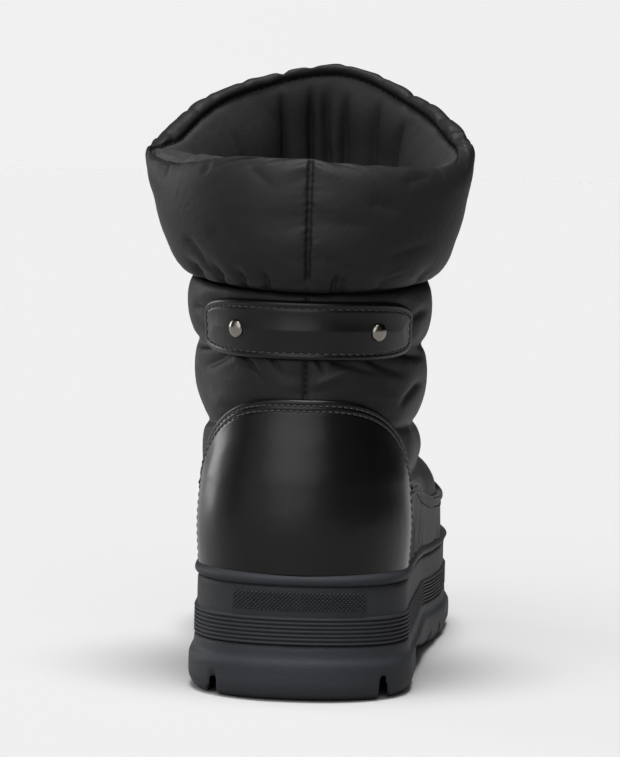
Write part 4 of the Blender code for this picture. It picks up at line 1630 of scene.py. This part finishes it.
def polished_leather(name, colour, roughness, gloss, coat):
    """Smooth leather under a clear finish: glossy, over faint grain and slow waves."""
    material = new_material(
        name,
        colour,
        {
            "Roughness": roughness,
            "Specular IOR Level": gloss,
            "Coat Weight": coat,
            "Coat Roughness": 0.5 * roughness,
        },
    )
    waves = Relief("ShaderNodeTexNoise", 11.0, {"Detail": 2.0}, {}, 0.35, 0.6)
    grain = Relief("ShaderNodeTexVoronoi", 0.8, {}, {"feature": "SMOOTH_F1"}, 0.12, 0.05)
    return emboss(material, (waves, grain), ("Normal", "Coat Normal"))


def moulded_rubber(colour):
    """Rubber from a spark-eroded mould: dull, with a fine even grain."""
    material = new_material("moulded rubber", colour, {"Roughness": 0.55, "Specular IOR Level": 0.06})
    # The mould's grain is finer than a pixel, so it is drawn as a grain of 1.3 mm.
    grain = Relief("ShaderNodeTexNoise", 1.3, {"Detail": 3.0}, {}, 0.6, 0.3)
    return emboss(material, (grain,))


def pressed_felt(colour):
    """Pressed felt: no gloss, with short fibres that catch the light at the edges."""
    material = new_material(
        "pressed felt",
        colour,
        {"Roughness": 0.95, "Specular IOR Level": 0.1, "Sheen Weight": 0.4, "Sheen Roughness": 0.5},
    )
    fibres = Relief("ShaderNodeTexNoise", 0.7, {"Detail": 4.0, "Roughness": 0.7}, {}, 0.5, 0.3)
    return emboss(material, (fibres,))


def plated_nickel(colour):
    """Nickel plate on a pressed cap: bright and warm, a little dulled by handling."""
    return new_material("nickel plate", colour, {"Metallic": 1.0, "Roughness": 0.2})


def spun_thread(name, colour, gloss):
    """Twisted polyester thread: bonded fibres with a slight gloss, more of it where waxed."""
    return new_material(name, colour, {"Roughness": 0.4, "Specular IOR Level": gloss})


def dress(piece, material, slot, *nodes):
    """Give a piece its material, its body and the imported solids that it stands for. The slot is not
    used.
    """
    piece.data.materials.clear()
    piece.data.materials.append(material)
    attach(piece, "root")
    if nodes:
        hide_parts(*nodes)
    return piece


def subdivide(piece):
    """One level of smooth subdivision, applied."""
    apply_modifier(piece, "SUBSURF", levels=1, render_levels=1)


# The camera stands behind the heel, a little to the inner side, turned and rolled as the
# picture was, with the boot's middle in the middle of the frame.
CAMERA_SPOT = (0.0548, -1.640, 0.228)
CAMERA_YAW = 1.93
CAMERA_PITCH = 4.38
CAMERA_ROLL = 1.5
CAMERA_LENS = 207.0
CAMERA_SENSOR = 36.0
CAMERA_CLIP = 200.0
FLOOR_SIZE = 12.0

# Soft boxes of the studio: middle, squash of their height, edge and core as cosines, strength.
SoftBox = namedtuple("SoftBox", "way squash edge core strength")
SOFT_BOXES = (
    SoftBox((-0.80, 0.60, 0.03), 0.4, 0.975, 0.992, 6.5),
    SoftBox((-0.20, -0.82, 0.55), 1.0, 0.74, 0.985, 2.2),
    SoftBox((0.0, -0.10, 1.0), 1.0, 0.95, 0.99, 30.0),
)

# Light of the room by the way it comes from: axis, start and end of the slope along it, and the
# light at both. The first is the room behind the camera, which the second dims on the right.
ROOM_SLOPES = (
    ("Y", -0.55, 0.05, 1.0, 0.06),
    ("X", -0.30, 0.65, 1.0, 0.1),
    ("Y", 0.985, 0.993, 0.0, 0.82),
)
SLOPE_SOCKETS = ("From Min", "From Max", "To Min", "To Max")


def light_studio(tree, back):
    """Room lit from behind the camera, a pale backdrop, and soft boxes over the boot."""
    way = add_node(tree, "ShaderNodeTexCoord").outputs["Generated"]
    axes = add_node(tree, "ShaderNodeSeparateXYZ", links={"Vector": way})
    room, shade, backdrop = [
        add_node(
            tree,
            "ShaderNodeMapRange",
            dict(zip(SLOPE_SOCKETS, slope)),
            {"Value": axes.outputs[axis]},
            interpolation_type="SMOOTHSTEP",
        ).outputs["Result"]
        for axis, *slope in ROOM_SLOPES
    ]
    links = {0: room, 1: shade, 2: backdrop}
    total = add_node(tree, "ShaderNodeMath", links=links, operation="MULTIPLY_ADD")
    for box in SOFT_BOXES:
        flat = Vector((1.0, 1.0, box.squash))
        aim = (Vector(box.way) * flat).normalized()
        wide = add_node(tree, "ShaderNodeVectorMath", {1: flat}, {0: way}, operation="MULTIPLY")
        links = {0: wide.outputs["Vector"]}
        unit = add_node(tree, "ShaderNodeVectorMath", links=links, operation="NORMALIZE")
        links = {0: unit.outputs["Vector"]}
        near = add_node(tree, "ShaderNodeVectorMath", {1: aim}, links, operation="DOT_PRODUCT")
        glow = add_node(
            tree,
            "ShaderNodeMapRange",
            dict(zip(SLOPE_SOCKETS, (box.edge, box.core, 0.0, box.strength))),
            {"Value": near.outputs["Value"]},
            interpolation_type="SMOOTHSTEP",
        )
        links = {0: total.outputs["Value"], 1: glow.outputs["Result"]}
        total = add_node(tree, "ShaderNodeMath", links=links, operation="ADD")
    tree.links.new(total.outputs["Value"], back.inputs["Strength"])
    back.inputs["Color"].default_value = (1.0, 1.0, 1.0, 1.0)


def make_stage(scene):
    """Pale floor, the studio's light and the camera."""
    alone()
    bpy.ops.mesh.primitive_plane_add(size=FLOOR_SIZE)
    floor = named_primitive("studio_floor")
    dull = {"Roughness": 0.9, "Specular IOR Level": 0.0}
    floor.data.materials.append(new_material("painted studio floor", scene.boot_looks.floor, dull))

    camera = bpy.data.objects.new("camera", bpy.data.cameras.new("camera"))
    scene.collection.objects.link(camera)
    camera.location = CAMERA_SPOT
    aim = Euler((radians(90.0 - CAMERA_PITCH), 0.0, radians(CAMERA_YAW))).to_matrix()
    camera.rotation_euler = (aim @ Matrix.Rotation(radians(CAMERA_ROLL), 3, "Z")).to_euler()
    camera.data.sensor_width = CAMERA_SENSOR
    camera.data.lens = CAMERA_LENS
    camera.data.clip_end = CAMERA_CLIP
    scene.camera = camera
    scene.view_settings.view_transform = "Standard"

    world = bpy.data.worlds.new("studio")
    scene.world = world
    world.use_nodes = True
    light_studio(world.node_tree, world.node_tree.nodes["Background"])


class BootSizes(bpy.types.PropertyGroup):
    """Sizes of the boot's trim and mould."""

    stitch_pitch: bpy.props.FloatProperty(
        name="Stitch Pitch", description="From stitch to stitch", unit="LENGTH", default=2.7 * MM
    )
    stitch_length: bpy.props.FloatProperty(
        name="Stitch Length", description="Length of one stitch", unit="LENGTH", default=2.0 * MM
    )
    thread_radius: bpy.props.FloatProperty(
        name="Thread Radius", description="Half the thread's width", unit="LENGTH", default=0.28 * MM
    )
    edge_roll: bpy.props.FloatProperty(
        name="Edge Roll", description="Width of the rolled edge", unit="LENGTH", default=1.3 * MM
    )
    rib_groove: bpy.props.FloatProperty(
        name="Rib Groove", description="Depth of the midsole's ribs", unit="LENGTH", default=1.0 * MM
    )
    knurl_pitch: bpy.props.FloatProperty(
        name="Knurl Pitch", description="From bead to bead", unit="LENGTH", default=1.4 * MM
    )
    knurl_depth: bpy.props.FloatProperty(
        name="Knurl Depth", description="Height of the beads", unit="LENGTH", default=1.1 * MM
    )
    rivet_dome: bpy.props.FloatProperty(
        name="Rivet Dome", description="Height of a rivet's cap", unit="LENGTH", default=1.7 * MM
    )


class BootLooks(bpy.types.PropertyGroup):
    """Colours of the boot and its stage."""

    nylon: bpy.props.FloatVectorProperty(
        name="Nylon", description="Woven nylon", subtype="COLOR", default=linear("#191919")
    )
    # Painted light: the lining is the same nylon as the outside, coloured lighter to stand in for the
    # light that falls inside the cuff.
    lining: bpy.props.FloatVectorProperty(
        name="Lining", description="Nylon inside the cuff", subtype="COLOR", default=linear("#29292a")
    )
    leather: bpy.props.FloatVectorProperty(
        name="Leather", description="Polished leather", subtype="COLOR", default=linear("#050505")
    )
    rubber: bpy.props.FloatVectorProperty(
        name="Rubber", description="Moulded rubber", subtype="COLOR", default=linear("#2a2b2e")
    )
    felt: bpy.props.FloatVectorProperty(
        name="Felt", description="Pressed felt", subtype="COLOR", default=linear("#161617")
    )
    nickel: bpy.props.FloatVectorProperty(
        name="Nickel", description="Nickel plate", subtype="COLOR", default=linear("#77726c")
    )
    thread: bpy.props.FloatVectorProperty(
        name="Thread", description="Thread of the nylon", subtype="COLOR", default=linear("#0a0a0b")
    )
    # Painted highlight: the trim's thread is coloured lighter than the nylon's thread to stand in for the
    # glints of light along its stitches.
    highlit_thread: bpy.props.FloatVectorProperty(
        name="Highlit Thread", description="Thread of the trim", subtype="COLOR", default=linear("#1d1d1e")
    )
    floor: bpy.props.FloatVectorProperty(
        name="Floor", description="Painted floor", subtype="COLOR", default=linear("#a3a3a3")
    )


class BOOT_OT_stage(bpy.types.Operator):
    """Lay the floor, light it and set the camera"""

    bl_idname = "boot.stage"
    bl_label = "Stage"

    def execute(self, context):
        make_stage(context.scene)
        return {"FINISHED"}


class BOOT_OT_sole(bpy.types.Operator):
    """Mould the tread, the midsole and the rand"""

    bl_idname = "boot.sole"
    bl_label = "Rubber sole"

    def execute(self, context):
        rubber = moulded_rubber(context.scene.boot_looks.rubber)
        dress(make_outsole(), rubber, "rubber", "outsole")
        dress(make_midsole(), rubber, "rubber", "midsole")
        dress(make_rand(), rubber, "rubber", "rand")
        return {"FINISHED"}


class BOOT_OT_insole(bpy.types.Operator):
    """Press the felt footbed"""

    bl_idname = "boot.insole"
    bl_label = "Footbed"

    def execute(self, context):
        dress(make_insole(), pressed_felt(context.scene.boot_looks.felt), "felt", "insole")
        return {"FINISHED"}


class BOOT_OT_padding(bpy.types.Operator):
    """Sew and fill the padded upper and cuff"""

    bl_idname = "boot.padding"
    bl_label = "Padded nylon"

    def execute(self, context):
        looks = context.scene.boot_looks
        nylon = woven_nylon("woven nylon taffeta", looks.nylon)
        thread = spun_thread("bonded polyester thread", looks.thread, gloss=0.12)
        upper = dress(make_upper(), nylon, "nylon", "upper")
        cuff = dress(make_cuff(), nylon, "nylon", "cuff")
        # The lining's lighter nylon is painted light, standing in for the light inside the cuff.
        paint_lining_lighter(cuff, woven_nylon("woven nylon lining painted lighter", looks.lining))
        subdivide(upper)
        press_creases(upper, UPPER_CREASES)
        subdivide(cuff)
        sew_cuff(cuff)
        press_creases(cuff, (*CUFF_CREASES, *seam_puckers()))
        dress(stitch_mesh("seam_thread", fabric_stitches(upper, cuff)), thread, "nylon")
        return {"FINISHED"}


class BOOT_OT_trim(bpy.types.Operator):
    """Cut and stitch the leather counter, strap and mudguard"""

    bl_idname = "boot.trim"
    bl_label = "Leather trim"

    def execute(self, context):
        looks = context.scene.boot_looks
        leather = polished_leather(
            "polished smooth leather", looks.leather, roughness=0.37, gloss=0.14, coat=0.16
        )
        patent = polished_leather("patent leather", looks.leather, roughness=0.28, gloss=0.0, coat=0.16)
        # The trim's thread is the same polyester, coloured lighter as a painted highlight for the glints
        # along its stitches.
        thread = spun_thread("polyester thread painted lighter", looks.highlit_thread, gloss=0.4)
        nickel = plated_nickel(looks.nickel)
        counter = counter_panel()
        strap = strap_panel()
        dress(make_heel_counter(counter), leather, "leather", "heel_counter")
        dress(make_back_strap(strap), leather, "leather", "back_strap")
        dress(make_mudguard(), patent, "leather", "mudguard")
        rows = trim_stitches(counter, COUNTER_STITCHES, COUNTER_CROWN)
        rows += trim_stitches(strap, STRAP_STITCHES, STRAP_CROWN)
        rows += guard_stitches()
        dress(stitch_mesh("trim_thread", rows), thread, "leather")
        dress(make_rivet("nickel_rivet_lateral", -1.0, strap), nickel, "metal", "strap_rivet_lateral")
        dress(make_rivet("nickel_rivet_medial", 1.0, strap), nickel, "metal", "strap_rivet_medial")
        return {"FINISHED"}


class BOOT_PT_looks(bpy.types.Panel):
    """Sizes and colours of the boot and the steps that make it"""

    bl_idname = "BOOT_PT_looks"
    bl_label = "Winter boot"
    bl_space_type = "VIEW_3D"
    bl_region_type = "UI"
    bl_category = "Boot"

    def draw(self, context):
        for name in BootSizes.__annotations__:
            self.layout.prop(context.scene.boot_sizes, name)
        for name in BootLooks.__annotations__:
            self.layout.prop(context.scene.boot_looks, name)
        for step in STEPS:
            self.layout.operator(step.bl_idname)


STEPS = (BOOT_OT_stage, BOOT_OT_sole, BOOT_OT_insole, BOOT_OT_padding, BOOT_OT_trim)
CLASSES = (BootSizes, BootLooks, *STEPS, BOOT_PT_looks)


def register():
    """Add the classes and the boot's settings."""
    for item in CLASSES:
        bpy.utils.register_class(item)
    bpy.types.Scene.boot_sizes = bpy.props.PointerProperty(type=BootSizes)
    bpy.types.Scene.boot_looks = bpy.props.PointerProperty(type=BootLooks)


def unregister():
    """Take the classes and the settings away again."""
    del bpy.types.Scene.boot_looks
    del bpy.types.Scene.boot_sizes
    for item in reversed(CLASSES):
        bpy.utils.unregister_class(item)


def main():
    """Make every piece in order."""
    register()
    bpy.ops.boot.stage()
    bpy.ops.boot.sole()
    bpy.ops.boot.insole()
    bpy.ops.boot.padding()
    bpy.ops.boot.trim()


if __name__ == "__main__":
    main()
